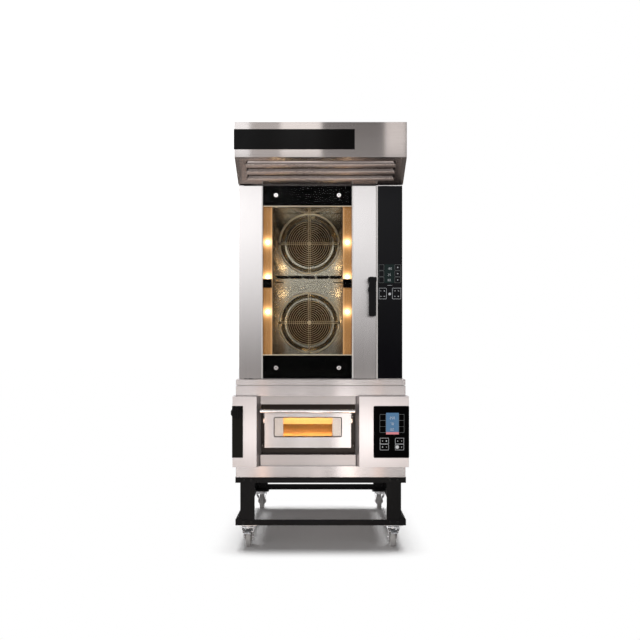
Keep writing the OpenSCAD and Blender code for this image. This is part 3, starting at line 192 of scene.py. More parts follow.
underStrips = {  # under the hood, on the floor, facing up: place across, width, brightness, colour
    "underLeft": (-0.54, 0.20, 1.4, (1.0, 0.97, 0.95)),
    "underPeach": (-0.37, 0.06, 2.6, (1.0, 0.66, 0.46)),
    "underWhite": (-0.017, 0.05, 3.0, (1.0, 0.96, 0.92)),
    "underPeachRight": (0.205, 0.06, 3.4, (1.0, 0.66, 0.46)),
}
underPlace = (-1.18, 0.01, 1.0)  # place, height and length


def softBox(name, place, aim, width, height, power, colour):
    light = bpy.data.lights.new(name, "AREA")
    light.shape = "RECTANGLE"
    light.size = width
    light.size_y = height
    light.energy = power
    light.color = colour
    box = addObject(name, light)
    box.location = place
    box.rotation_euler = (Vector(aim) - Vector(place)).to_track_quat("-Z", "Y").to_euler()
    box.visible_camera = False
    return box


def makeFloor():
    half = studioSet["floorSize"] / 2
    mesh = bpy.data.meshes.new("floor")
    corners = [(-half, -half, 0), (half, -half, 0), (half, half, 0), (-half, half, 0)]
    mesh.from_pydata(corners, [], [(0, 1, 2, 3)])
    floor = addObject("floor", mesh)
    paint = bpy.data.materials.new("floorPaint")
    paint.use_nodes = True
    tree = paint.node_tree
    tree.nodes.clear()
    away = vector(tree, "SUBTRACT", objectPlace(tree), studioSet["floorMiddle"])[0]
    away = vector(tree, "SUBTRACT", vector(tree, "ABSOLUTE", away)[0], studioSet["floorHalf"])[0]
    away = vector(tree, "LENGTH", vector(tree, "MAXIMUM", away, (0, 0, 0))[0])["Value"]
    fade = shade(tree, "MapRange", {"Value": away, "From Max": studioSet["fade"]},
                 interpolation_type="SMOOTHSTEP").outputs[0]
    matt = shade(tree, "BsdfDiffuse", {"Color": (*studioSet["floorWhite"], 1)}).outputs[0]
    plain = shade(tree, "Emission", {"Color": (1, 1, 1, 1)}).outputs[0]
    mixed = shade(tree, "MixShader", {0: fade, 1: matt, 2: plain}).outputs[0]
    shade(tree, "OutputMaterial", {"Surface": mixed})
    mesh.materials.append(paint)
    floor.visible_glossy = False
    floor.visible_diffuse = False


def makeStudio():
    world = bpy.data.worlds.new("studio")
    world.use_nodes = True
    bpy.context.scene.world = world
    tree = world.node_tree
    tree.nodes.clear()
    direction = shade(tree, "SeparateXYZ", {0: shade(tree, "TexCoord").outputs["Generated"]}).outputs
    rise = calc(tree, "MULTIPLY_ADD", direction["Z"], 0.5, 0.5)
    sky = setRamp(shade(tree, "ValToRGB", {"Fac": rise}), studioSet["skyStops"])
    side = ranged(tree, direction["X"], -studioSet["sideSpan"], studioSet["sideSpan"],
                  studioSet["leftLevel"], studioSet["rightLevel"])
    path = shade(tree, "LightPath").outputs
    side = calc(tree, "MAXIMUM", side, path["Is Camera Ray"])
    level = calc(tree, "MULTIPLY", side, calc(tree, "MULTIPLY_ADD", path["Is Diffuse Ray"],
                                              studioSet["diffuseShare"] - 1, 1))
    glow = shade(tree, "Background", {"Color": colourMix(tree, path["Is Camera Ray"], sky, (1, 1, 1)),
                                      "Strength": level})
    shade(tree, "OutputWorld", {"Surface": glow.outputs[0]})
    for name, values in softBoxes.items():
        softBox(name, *values)
    for name, (x, width, middle, height, bright, colour) in strips.items():
        place = (x, doorLow.y - stripDistance, middle)
        softBox(name, place, (x, 0, middle), width, height, bright * math.pi * width * height, colour)
    y, z, length = underPlace
    for name, (x, width, bright, colour) in underStrips.items():
        softBox(name, (x, y, z), (x, y, z + 1), width, length, bright * math.pi * width * length, colour)
    makeFloor()
    bpy.context.scene.view_settings.view_transform = "Standard"


makeCamera()
makeStudio()
print("studio and camera stand")


# shared surface effects; a noise has scale, detail, roughness and distortion
effectSet = {
    "streaks": (1.0, 4.0, 0.7),
    "clouds": (1.7, 3.0),
    "streakShare": 0.9,
    "streakDepth": 0.4 * mm,
    "edgeBend": (0.995, 0.85),  # cosine at which an edge starts to be worn, and is fully worn
    "smearStretch": (5, 5, 2.2),
    "smears": (1.6, 6.0, 0.62, 0.6),
    "smearRange": (0.5, 0.75),
    "patches": (7.0, 5.0, 0.6),
    "grainDetail": 2.0,
    "grainDepth": 0.6 * mm,
    "dustSlope": (0.45, 0.95),
    "dustNoise": (22.0, 6.0, 0.7),
    "dustRange": (0.35, 0.7),
}


def noise(tree, place, scale, detail, rough=0.5, bend=0.0):
    feeds = {"Vector": place, "Scale": scale, "Detail": detail, "Roughness": rough, "Distortion": bend}
    return shade(tree, "TexNoise", feeds).outputs["Fac"]


def makeBrushing():
    tree, given, out = newGroup("brushing", "ShaderNodeTree", [
        ("Stretch", "Vector", (5, 5, 700)), ("Roughness", "Float", 0.3), ("Spread", "Float", 0.1),
        ("Depth", "Float", 0.1), ("Normal", "Vector", None)], [
        ("Tone", "Float"), ("Roughness", "Float"), ("Normal", "Vector")])
    place = objectPlace(tree)
    streak = noise(tree, vector(tree, "MULTIPLY", place, given["Stretch"])[0], *effectSet["streaks"])
    cloud = noise(tree, place, *effectSet["clouds"])
    lean = calc(tree, "SUBTRACT", streak, 0.5)
    bump = shade(tree, "Bump", {"Strength": given["Depth"], "Distance": effectSet["streakDepth"],
                                "Height": streak, "Normal": given["Normal"]})
    wire(tree, out, {"Tone": calc(tree, "MULTIPLY_ADD", lean, effectSet["streakShare"], cloud),
                     "Roughness": calc(tree, "MULTIPLY_ADD", lean, given["Spread"], given["Roughness"]),
                     "Normal": bump.outputs[0]})
    return tree


def makeWear():
    tree, given, out = newGroup("wear", "ShaderNodeTree", [
        ("Width", "Float", 0.0015), ("Smear", "Float", 0.5)], [
        ("Edge", "Float"), ("Smear", "Float"), ("Normal", "Vector")])
    rounded = shade(tree, "Bevel", {"Radius": given["Width"]}, samples=4).outputs[0]
    flat = shade(tree, "NewGeometry").outputs["Normal"]
    bend = vector(tree, "DOT_PRODUCT", rounded, flat)["Value"]
    edge = ranged(tree, bend, *effectSet["edgeBend"])
    wipe = vector(tree, "MULTIPLY", objectPlace(tree), effectSet["smearStretch"])[0]
    smear = ranged(tree, noise(tree, wipe, *effectSet["smears"]), *effectSet["smearRange"])
    wire(tree, out, {"Edge": edge, "Smear": calc(tree, "MULTIPLY", smear, given["Smear"]), "Normal": rounded})
    return tree


def makeGrain():
    tree, given, out = newGroup("grain", "ShaderNodeTree", [
        ("Size", "Float", 900), ("Depth", "Float", 0.2), ("Roughness", "Float", 0.5),
        ("Spread", "Float", 0.15), ("Normal", "Vector", None)], [
        ("Tone", "Float"), ("Roughness", "Float"), ("Normal", "Vector")])
    place = objectPlace(tree)
    fine = noise(tree, place, given["Size"], effectSet["grainDetail"])
    broad = noise(tree, place, *effectSet["patches"])
    lean = calc(tree, "SUBTRACT", broad, 0.5)
    bump = shade(tree, "Bump", {"Strength": given["Depth"], "Distance": effectSet["grainDepth"],
                                "Height": fine, "Normal": given["Normal"]})
    wire(tree, out, {"Tone": broad, "Normal": bump.outputs[0],
                     "Roughness": calc(tree, "MULTIPLY_ADD", lean, given["Spread"], given["Roughness"])})
    return tree


def makeDust():
    tree, given, out = newGroup("dust", "ShaderNodeTree", [("Amount", "Float", 0.4)], [("Dust", "Float")])
    facing = shade(tree, "SeparateXYZ", {0: shade(tree, "NewGeometry").outputs["Normal"]}).outputs["Z"]
    up = ranged(tree, facing, *effectSet["dustSlope"])
    cloud = noise(tree, objectPlace(tree), *effectSet["dustNoise"])
    patch = ranged(tree, cloud, *effectSet["dustRange"])
    wire(tree, out, {"Dust": calc(tree, "MULTIPLY", calc(tree, "MULTIPLY", up, patch), given["Amount"])})
    return tree


brushing = makeBrushing()
wear = makeWear()
grain = makeGrain()
dust = makeDust()


def newMaterial(name, **sockets):
    material = bpy.data.materials.new(name)
    material.use_nodes = True
    surface = material.node_tree.nodes["Principled BSDF"]
    for label, value in sockets.items():
        surface.inputs[label.replace("_", " ")].default_value = value
    return material, material.node_tree, surface.inputs


# steel finishes: dark and light tone, roughness and its spread, stretch of the grain, its depth,
# how far highlights are drawn out, smears
across = (4, 4, 620)
lengthwise = (620, 620, 4)
wornSet = {  # worn edges: share, lightness and limit; smears and dust: what they add to the roughness
    "steel": (0.5, 1.25, 1.0),
    "solid": (0.35, 2.2, 2.0),
    "steelSmear": 0.14,
    "glassSmear": 0.03,
    "glossSmear": 0.08,
    "dustRough": 0.3,
    "dustTone": (0.34, 0.32, 0.30),
}
steelFinishes = {
    "steelAcross": ((0.37, 0.342, 0.334), (0.49, 0.460, 0.450), 0.22, 0.08, across, 0.06, 0.92, 0.20),
    "steelUpright": ((0.52, 0.500, 0.492), (0.60, 0.580, 0.572), 0.24, 0.08, lengthwise, 0.06, 0.80, 0.16),
    "steelPillar": ((0.56, 0.520, 0.515), (0.66, 0.620, 0.612), 0.36, 0.10, lengthwise, 0.08, 0.70, 0.18),
    # the hood's steel is a darker copy of the same stainless: painted shade
    "steelHood": ((0.20, 0.180, 0.170), (0.29, 0.268, 0.258), 0.14, 0.04, across, 0.06, 0.92, 0.18),
    "steelFascia": ((0.40, 0.370, 0.362), (0.50, 0.468, 0.458), 0.42, 0.08, across, 0.06, 0.60, 0.20),
    # the louvre and filter under the hood: a darker copy of the same stainless, painted shade on their
    # undersides
    "steelShade": ((0.25, 0.216, 0.200), (0.38, 0.335, 0.315), 0.24, 0.05, across, 0.015, 0.50, 0.10),
    # a lighter copy of the same stainless for handle, standoffs, screws, nuts and latch: a painted highlight
    "steelBright": ((0.80, 0.77, 0.76), (0.92, 0.89, 0.88), 0.17, 0.06, across, 0.05, 0.30, 0.20),
    "steelCavity": ((0.40, 0.320, 0.220), (0.58, 0.490, 0.370), 0.18, 0.06, lengthwise, 0.04, 0.20, 0.40),
    "steelBaffle": ((0.40, 0.395, 0.360), (0.56, 0.545, 0.495), 0.13, 0.03, lengthwise, 0.006, 0.20, 0.40),
    # fan guard and window trims: a lighter golden copy of the steel, painted lamp light
    "steelGuard": ((0.84, 0.72, 0.52), (0.97, 0.88, 0.70), 0.40, 0.08, lengthwise, 0.05, 0.0, 0.20),
    "steelRim": ((0.90, 0.84, 0.70), (1.00, 0.96, 0.86), 0.34, 0.08, lengthwise, 0.05, 0.0, 0.10),
    # fan wheel: near black, painted shade behind the guard
    "steelWheel": ((0.022, 0.018, 0.014), (0.050, 0.040, 0.033), 0.40, 0.12, across, 0.10, 0.0, 0.30),
    "zincPlate": ((0.52, 0.53, 0.545), (0.70, 0.71, 0.72), 0.34, 0.16, (60, 60, 60), 0.12, 0.0, 0.40),
}


def wornTone(tree, marks, tone, light, kind):
    share, lift, limit = wornSet[kind]
    edge = tuple(min(limit, c * lift) for c in light)
    return colourMix(tree, calc(tree, "MULTIPLY", marks["Edge"], share), tone, edge)


def makeSteel(name, dark, light, rough, spread, stretch, depth, aniso, smears):
    material, tree, surface = newMaterial(name, Metallic=1.0, Anisotropic=aniso)
    marks = placeGroup(tree, wear, {"Width": 1.2 * mm, "Smear": smears})
    brushed = placeGroup(tree, brushing, {"Stretch": stretch, "Roughness": rough, "Spread": spread,
                                          "Depth": depth, "Normal": marks["Normal"]})
    edged = wornTone(tree, marks, colourMix(tree, brushed["Tone"], dark, light), light, "steel")
    rough = calc(tree, "MULTIPLY_ADD", marks["Smear"], wornSet["steelSmear"], brushed["Roughness"])
    wire(tree, surface, {"Base Color": edged, "Roughness": rough, "Normal": brushed["Normal"]})
    if aniso:
        flat = shade(tree, "NewGeometry").outputs["Normal"]
        line = (0.7, 0.7, 0.002) if stretch[2] > stretch[0] else (0.002, 0.003, 1)
        wire(tree, surface, {"Tangent": vector(tree, "CROSS_PRODUCT", flat, line)[0]})
    return material


# painted, moulded and mineral finishes: dark and light tone, roughness, spread, grain size, depth, dust
solidFinishes = {
    "powderBlack": ((0.0045, 0.0045, 0.005), (0.009, 0.009, 0.0095), 0.44, 0.14, 1500, 0.25, 0.04),
    "boltBlack": ((0.006, 0.006, 0.006), (0.03, 0.03, 0.03), 0.36, 0.20, 1200, 0.10, 0.04),
    "nylonGrey": ((0.78, 0.78, 0.77), (0.90, 0.90, 0.89), 0.38, 0.16, 700, 0.10, 0.15),
    "mouldedBlack": ((0.006, 0.006, 0.007), (0.014, 0.014, 0.015), 0.34, 0.12, 1900, 0.22, 0.03),
    "plateBlack": ((0.0075, 0.0070, 0.0050), (0.0115, 0.0105, 0.0080), 0.50, 0.12, 1900, 0.20, 0.02),
    "sealBlack": ((0.012, 0.011, 0.011), (0.030, 0.029, 0.028), 0.62, 0.12, 1200, 0.20, 0.10),
    "bakingStone": ((0.42, 0.30, 0.18), (0.66, 0.52, 0.36), 0.86, 0.10, 420, 0.70, 0.30),
    "heaterBlack": ((0.045, 0.035, 0.030), (0.14, 0.11, 0.09), 0.55, 0.20, 900, 0.30, 0.0),
    "mineralWool": ((0.40, 0.32, 0.12), (0.62, 0.53, 0.26), 0.95, 0.05, 260, 1.0, 0.0),
    "motorGrey": ((0.060, 0.066, 0.075), (0.105, 0.112, 0.122), 0.42, 0.16, 1100, 0.20, 0.50),
}


def makeSolid(name, dark, light, rough, spread, size, depth, dustiness):
    material, tree, surface = newMaterial(name, Specular_IOR_Level=0.12)
    marks = placeGroup(tree, wear, {"Width": 1.0 * mm, "Smear": 0.5})
    grained = placeGroup(tree, grain, {"Size": size, "Depth": depth, "Roughness": rough, "Spread": spread,
                                       "Normal": marks["Normal"]})
    edged = wornTone(tree, marks, colourMix(tree, grained["Tone"], dark, light), light, "solid")
    settled = placeGroup(tree, dust, {"Amount": dustiness})["Dust"]
    rough = calc(tree, "MULTIPLY_ADD", settled, wornSet["dustRough"], grained["Roughness"])
    wire(tree, surface, {"Base Color": colourMix(tree, settled, edged, wornSet["dustTone"]),
                         "Roughness": rough, "Normal": grained["Normal"]})
    return material


# glass and glossy prints
glassTints = {"doorGlass": (0.86, 0.86, 0.85), "innerGlass": (0.82, 0.80, 0.75),
              "deckGlass": (0.97, 0.94, 0.90)}


def makeGlass(name, *tint):
    material, tree, surface = newMaterial(name, Base_Color=(*tint, 1), IOR=1.07, Transmission_Weight=1.0)
    marks = placeGroup(tree, wear, {"Width": 0.6 * mm, "Smear": 1.0})
    wire(tree, surface, {"Roughness": calc(tree, "MULTIPLY", marks["Smear"], wornSet["glassSmear"])})
    return material


def makeGloss(name, dark, light, rough, gloss=0.1, glow=0.0, glowColour=(1, 1, 1)):
    material, tree, surface = newMaterial(name, Specular_IOR_Level=gloss, Emission_Strength=glow,
                                          Emission_Color=(*glowColour, 1))
    marks = placeGroup(tree, wear, {"Width": 0.6 * mm, "Smear": 1.0})
    grained = placeGroup(tree, grain, {"Size": 40.0, "Depth": 0.01, "Roughness": rough, "Spread": 0.06,
                                       "Normal": marks["Normal"]})
    rough = calc(tree, "MULTIPLY_ADD", marks["Smear"], wornSet["glossSmear"], grained["Roughness"])
    wire(tree, surface, {"Base Color": colourMix(tree, grained["Tone"], dark, light), "Roughness": rough})
    return material


glossFinishes = {  # dark and light tone, roughness, gloss, glow and its colour
    "blackGlass": ((0.003, 0.003, 0.005), (0.006, 0.006, 0.009), 0.12, 0.10),
    "stripBlack": ((0.004, 0.0037, 0.0037), (0.008, 0.0074, 0.0074), 0.22, 0.05),
    "knobBlack": ((0.001, 0.0012, 0.001), (0.003, 0.0034, 0.003), 0.30, 0.08),
    # pale strips that glow: a painted highlight along the polished edges of the door glass and the control
    # column
    "edgePale": ((0.55, 0.53, 0.515), (0.66, 0.64, 0.62), 0.5, 0.1, 0.42, (1.0, 0.96, 0.93)),
    "bandBlack": ((0.001, 0.001, 0.001), (0.002, 0.002, 0.002), 0.30, 0.01),
    "printWhite": ((0.50, 0.51, 0.52), (0.66, 0.67, 0.68), 0.45, 0.2, 0.30, (0.8, 0.85, 0.9)),
    "printGrey": ((0.12, 0.13, 0.13), (0.20, 0.21, 0.21), 0.45, 0.2, 0.10, (0.5, 0.55, 0.55)),
    "screenDark": ((0.003, 0.008, 0.008), (0.005, 0.014, 0.013), 0.20, 0.15, 0.04, (0.02, 0.14, 0.12)),
    "screenBlue": ((0.03, 0.07, 0.13), (0.05, 0.11, 0.19), 0.25, 0.15, 0.8, (0.075, 0.17, 0.30)),
    "screenPink": ((0.35, 0.12, 0.14), (0.5, 0.2, 0.22), 0.25, 0.15, 0.7, (0.60, 0.20, 0.22)),
    "screenPale": ((0.35, 0.42, 0.5), (0.45, 0.52, 0.6), 0.35, 0.15, 0.7, (0.36, 0.46, 0.60)),
    "lampCapsule": ((0.9, 0.8, 0.6), (1.0, 0.9, 0.7), 0.3, 0.2, 7.0, (1.0, 0.86, 0.62)),
}

# the trough behind each row of lamps: warm satin metal that glows with painted lamp light, brightest beside
# each lamp, with a pale painted light band along its inner edge
lampSet = {
    "dark": (0.19, 0.09, 0.032),
    "light": (0.34, 0.19, 0.085),
    "glow": 0.16,
    "nearLampGlow": 5.0,
    "edgeGlow": 0.32,
    "edgeWidth": 12 * mm,
    "troughWidth": 46 * mm,
    "reach": 24 * mm,
    "fall": 2.2,  # how fast the painted glow drops past its reach
    "peak": 2.0,
    "gold": (1.0, 0.47, 0.14),
    "nearLampColour": (1.0, 0.80, 0.48),
    "pale": (1.0, 0.85, 0.6),
}


def lampPlaces():
    verts = [v.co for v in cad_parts["door_lamps"].data.vertices]
    places = []
    for point in sorted(verts, key=lambda co: (co.x > windowMiddle, co.z)):
        same = [p for p in places if (p[-1] - point).length < 40 * mm]
        if same:
            same[0].append(point)
        else:
            places.append([point])
    return [sum(p, Vector()) / len(p) for p in places]


def makeReflector():
    material, tree, surface = newMaterial("reflectorPaintedGlow", Metallic=1.0)
    brushed = placeGroup(tree, brushing, {"Stretch": lengthwise, "Roughness": 0.28, "Spread": 0.1,
                                          "Depth": 0.08})
    wire(tree, surface, {"Base Color": colourMix(tree, brushed["Tone"], lampSet["dark"], lampSet["light"]),
                         "Roughness": brushed["Roughness"], "Normal": brushed["Normal"]})
    place = objectPlace(tree)
    lampShine = None
    for lamp in lampPlaces():
        share = calc(tree, "DIVIDE", vector(tree, "DISTANCE", place, lamp)["Value"], lampSet["reach"])
        pull = calc(tree, "DIVIDE", 1.0, calc(tree, "ADD", calc(tree, "POWER", share, lampSet["fall"]), 1.0))
        lampShine = pull if lampShine is None else calc(tree, "ADD", lampShine, pull)
    strong = calc(tree, "POWER", lampShine, lampSet["peak"])
    colour = colourMix(tree, calc(tree, "MINIMUM", strong, 1.0), lampSet["gold"], lampSet["nearLampColour"])
    x = shade(tree, "SeparateXYZ", {0: place}).outputs["X"]
    sideways = calc(tree, "ABSOLUTE", calc(tree, "SUBTRACT", x, windowMiddle))
    inner = (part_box("door_lamp_columns")[1].x - windowMiddle) - lampSet["troughWidth"]
    edge = ranged(tree, sideways, inner + lampSet["edgeWidth"], inner, high=lampSet["edgeGlow"])
    colour = colourMix(tree, edge, colour, lampSet["pale"])
    # painted light: the trough glows by emission, strongest near each lamp and along its inner edge
    level = calc(tree, "ADD", calc(tree, "MULTIPLY_ADD", strong, lampSet["nearLampGlow"], lampSet["glow"]), edge)
    lit = shade(tree, "VectorMath", {0: colour, "Scale": level}, operation="SCALE").outputs[0]
    wire(tree, surface, {"Emission Color": lit})
    surface["Emission Strength"].default_value = 1.0
    return material


# the steel of the deck chamber: near black on its front plate, a painted shade of the gaps beside the deck
# door, warm inside
chamberShadeSet = {
    "front": ((0.020, 0.016, 0.014), (0.050, 0.042, 0.038)),
    "back": ((0.55, 0.45, 0.32), (0.80, 0.70, 0.56)),
    "change": (1 * mm, 6 * mm),  # behind the front of the casing
}


def makeChamberShade():
    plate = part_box("deck_casing")[0].y
    first, last = chamberShadeSet["change"]
    material, tree, surface = newMaterial("steelPaintedShade", Metallic=1.0)
    brushed = placeGroup(tree, brushing, {"Stretch": across, "Roughness": 0.40, "Spread": 0.1, "Depth": 0.1})
    depth = shade(tree, "SeparateXYZ", {0: objectPlace(tree)}).outputs["Y"]
    inside = ranged(tree, depth, plate + first, plate + last)
    # the front plate's near black tone is painted shade of the gaps beside the deck door
    front = colourMix(tree, brushed["Tone"], *chamberShadeSet["front"])
    back = colourMix(tree, brushed["Tone"], *chamberShadeSet["back"])
    wire(tree, surface, {"Base Color": colourMix(tree, inside, front, back),
                         "Roughness": brushed["Roughness"], "Normal": brushed["Normal"]})
    return material


finish = {}
for make, table in ((makeSteel, steelFinishes), (makeSolid, solidFinishes), (makeGloss, glossFinishes),
                    (makeGlass, glassTints)):
    finish.update({name: make(name, *values) for name, values in table.items()})
finish["reflectorPaintedGlow"] = makeReflector()
finish["steelPaintedShade"] = makeChamberShade()

dress = {  # finish, and how the names of its parts start
    "powderBlack": "stand_top_frame stand_legs stand_lower_frame",
    "boltBlack": "stand_bolts",
    "zincPlate": "caster_plates caster_fork caster_brake deck_vent_duct",
    "steelPillar": "deck_pillar",
    "stripBlack": "hood_strip",
    "steelPaintedShade": "deck_chamber",
    "nylonGrey": "caster_wheel",
    "steelAcross": "deck_plinth deck_casing deck_door_panel oven_base",
    "steelFascia": "deck_fascias deck_door_liner",
    "steelUpright": "oven_casing control_column door_frame door_hinges",
    "steelHood": "hood_shell",
    "steelShade": "hood_louvre hood_filter",
    "steelBright": "deck_door_handle door_standoffs",
    "steelCavity": "oven_cavity tray_racks",
    "steelBaffle": "fan_baffle",
    "steelGuard": "fan_guard",
    "steelWheel": "fan_wheel",
    "bakingStone": "deck_stone",
    "heaterBlack": "deck_heaters heater_rings",
    "mineralWool": "insulation",
    "motorGrey": "fan_motors hood_blower",
    "mouldedBlack": "door_handle",
    "plateBlack": "deck_valve_plate",
    "knobBlack": "deck_valve_knob",
    "sealBlack": "door_gasket",
    "blackGlass": "control_glass",
    "bandBlack": "deck_control_glass",
    "lampCapsule": "door_lamps",
    "reflectorPaintedGlow": "door_lamp_columns",
    "doorGlass": "door_outer_glass",
    "innerGlass": "door_inner_glass",
    "deckGlass": "deck_door_glass",
}


def dressParts():
    bare = set(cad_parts)
    for name, starts in dress.items():
        for part in [part for part in bare if part.startswith(tuple(starts.split()))]:
            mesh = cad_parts[part].data
            mesh.materials.clear()
            mesh.materials.append(finish[name])
            bare.discard(part)
    for part in ("door_outer_glass", "door_inner_glass", "deck_door_glass"):
        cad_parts[part].visible_shadow = False
    print("dressed", len(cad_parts) - len(bare), "parts; still bare:", sorted(bare))


dressParts()


# light of the door lamps inside the oven, and the glow of the deck chamber
glowSet = {
    "lampPower": 0.42,
    "lampColour": (1.0, 0.74, 0.42),
    "lampRadius": 6 * mm,
    "lampIn": 17 * mm,  # towards the middle of the window
    "lampBack": 14 * mm,  # behind the inner glass
    "columnPower": 0.05,
    "columnWidth": 40 * mm,
    "columnIn": 22 * mm,
    "columnBack": 12 * mm,
    "columnAim": 0.25,
    "columnPast": 300 * mm,  # longer than the row of lamps
    "columnColour": (1.0, 0.80, 0.54),
    "deckColour": (1.0, 0.56, 0.19),
    "deckSize": (0.36, 0.02),
    "deckIn": 40 * mm,
    "deckAim": 330 * mm,
    "deckLights": {  # place and aim above the baking stone, power
        "deckTopLight": (100 * mm, 0.0, 3.6),
        "deckLowLight": (12 * mm, 90 * mm, 2.4),
    },
}


def hideLight(light, body):
    light.visible_camera = False
    light.visible_transmission = False
    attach(light, body)


def makeGlow():
    places = lampPlaces()
    for i, place in enumerate(places):
        inward = 1 if place.x < windowMiddle else -1
        light = bpy.data.lights.new(f"lampLight{i}", "POINT")
        light.energy = glowSet["lampPower"]
        light.color = glowSet["lampColour"]
        light.shadow_soft_size = glowSet["lampRadius"]
        lamp = addObject(light.name, light)
        lamp.location = (place.x + inward * glowSet["lampIn"], innerHigh.y + glowSet["lampBack"], place.z)
        hideLight(lamp, "oven_door")
    bottom = min(p.z for p in places)
    top = max(p.z for p in places)
    middle = (top + bottom) / 2
    for side in (-1, 1):
        x = windowMiddle + side * (places[-1].x - windowMiddle - glowSet["columnIn"])
        place = (x, innerHigh.y + glowSet["columnBack"], middle)
        bar = softBox(f"columnLight{side}", place, (windowMiddle, glowSet["columnAim"], middle),
                      glowSet["columnWidth"], top - bottom + glowSet["columnPast"], glowSet["columnPower"],
                      glowSet["columnColour"])
        hideLight(bar, "oven_door")
    low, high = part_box("deck_stone")
    x = (low.x + high.x) / 2
    for name, (rise, aim, power) in glowSet["deckLights"].items():
        bar = softBox(name, (x, low.y + glowSet["deckIn"], high.z + rise),
                      (x, low.y + glowSet["deckAim"], high.z + aim), *glowSet["deckSize"], power,
                      glowSet["deckColour"])
        hideLight(bar, "tower")


makeGlow()
print("lamps are on")


# flat prints and plates on upright faces, drawn in x and z
def disc(x, z, radius, steps=24):
    return [(x + radius * math.cos(i * math.tau / steps), z + radius * math.sin(i * math.tau / steps))
            for i in range(steps)]


def roundedBox(x0, x1, z0, z1, radius=0.0):
    if radius <= 0:
        return [(x0, z0), (x1, z0), (x1, z1), (x0, z1)]
    corners = ((x1 - radius, z0 + radius, 270), (x1 - radius, z1 - radius, 0),
               (x0 + radius, z1 - radius, 90), (x0 + radius, z0 + radius, 180))
    turns = [(x, z, math.radians(start + turn)) for x, z, start in corners for turn in (0, 30, 60, 90)]
    return [(x + radius * math.cos(turn), z + radius * math.sin(turn)) for x, z, turn in turns]


def flatPlate(name, loops, y, thickness, material, body="tower"):
    curve = bpy.data.curves.new(name, "CURVE")
    curve.dimensions = "2D"
    curve.fill_mode = "BOTH"
    curve.extrude = thickness / 2
    for loop in loops:
        spline = curve.splines.new("POLY")
        spline.points.add(len(loop) - 1)
        spline.use_cyclic_u = True
        for point, (x, z) in zip(spline.points, loop):
            point.co = (x, z, 0, 1)
    drawn = bpy.data.objects.new(name, curve)
    mesh = bpy.data.meshes.new_from_object(drawn)
    bpy.data.objects.remove(drawn)
    mesh.transform(Matrix.Translation((0, y + thickness / 2, 0)) @ Matrix.Rotation(math.radians(90), 4, "X"))
    return addPiece(name, mesh, material, body)


def addPiece(name, mesh, material, body):
    mesh.name = name
    mesh.materials.clear()
    mesh.materials.append(finish[material])
    piece = addObject(name, mesh)
    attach(piece, body)
    return piece


# geometry trees: each takes points or a line, and gives one plain mesh
def geo(tree, kind, feeds=(), **settings):
    return add(tree, "GeometryNode" + kind, feeds, **settings).outputs[0]


def newShape(name, takes, smooth=True):
    takes = [("Geometry", "Geometry", None), ("Material", "Material", None)] + takes
    takes.append(("Smooth", "Bool", smooth))
    return newGroup(name, "GeometryNodeTree", takes, [("Geometry", "Geometry")])


def endShape(tree, given, out, made):
    whole = geo(tree, "RealizeInstances", {"Geometry": made})
    smooth = geo(tree, "SetShadeSmooth", {"Geometry": whole, "Shade Smooth": given["Smooth"]})
    dressed = geo(tree, "SetMaterial", {"Geometry": smooth, "Material": given["Material"]})
    wire(tree, out, {"Geometry": dressed})
    return tree


def makeBeadTree():
    tree, given, out = newShape("bead", [
        ("Radius", "Float", 0.002), ("Sides", "Int", 12), ("Step", "Float", 0.004)])
    line = geo(tree, "MeshToCurve", {"Mesh": given["Geometry"]})
    line = geo(tree, "ResampleCurve", {"Curve": line, "Length": given["Step"]}, mode="LENGTH")
    ring = geo(tree, "CurvePrimitiveCircle", {"Resolution": given["Sides"], "Radius": given["Radius"]})
    tube = geo(tree, "CurveToMesh", {"Curve": line, "Profile Curve": ring, "Fill Caps": True})
    return endShape(tree, given, out, tube)


def makeStudTree():
    tree, given, out = newShape("studs", [
        ("Radius", "Float", 0.004), ("Rise", "Float", 0.002), ("Facing", "Vector", (0, 0, 0))])
    flange = calc(tree, "MULTIPLY", given["Radius"], 1.35)
    washer = geo(tree, "MeshCylinder", {"Vertices": 20, "Radius": flange,
                                        "Depth": calc(tree, "MULTIPLY", given["Rise"], 0.5)})
    dome = geo(tree, "MeshUVSphere", {"Segments": 18, "Rings": 10, "Radius": 1.0})
    size = shade(tree, "CombineXYZ", {"X": given["Radius"], "Y": given["Radius"], "Z": given["Rise"]})
    dome = geo(tree, "Transform", {"Geometry": dome, "Scale": size.outputs[0]})
    joined = add(tree, "GeometryNodeJoinGeometry")
    for piece in (washer, dome):
        tree.links.new(piece, joined.inputs[0])
    made = geo(tree, "InstanceOnPoints", {"Points": given["Geometry"], "Instance": joined.outputs[0],
                                          "Rotation": given["Facing"]})
    return endShape(tree, given, out, made)


def makeKeyTree():
    tree, given, out = newShape("keys", [
        ("Width", "Float", 0.03), ("Height", "Float", 0.03), ("Corner", "Float", 0.002),
        ("Line", "Float", 0.002), ("Thickness", "Float", 0.0002)], smooth=False)
    edge = geo(tree, "CurvePrimitiveQuadrilateral", {"Width": given["Width"], "Height": given["Height"]})
    edge = geo(tree, "FilletCurve", {"Curve": edge, "Count": 4, "Radius": given["Corner"]}, mode="POLY")
    section = geo(tree, "CurvePrimitiveQuadrilateral", {"Width": given["Line"], "Height": given["Thickness"]})
    key = geo(tree, "CurveToMesh", {"Curve": edge, "Profile Curve": section})
    made = geo(tree, "InstanceOnPoints", {"Points": given["Geometry"], "Instance": key,
                                          "Rotation": (math.radians(90), 0, 0)})
    return endShape(tree, given, out, made)


beadTree = makeBeadTree()
studTree = makeStudTree()
keyTree = makeKeyTree()


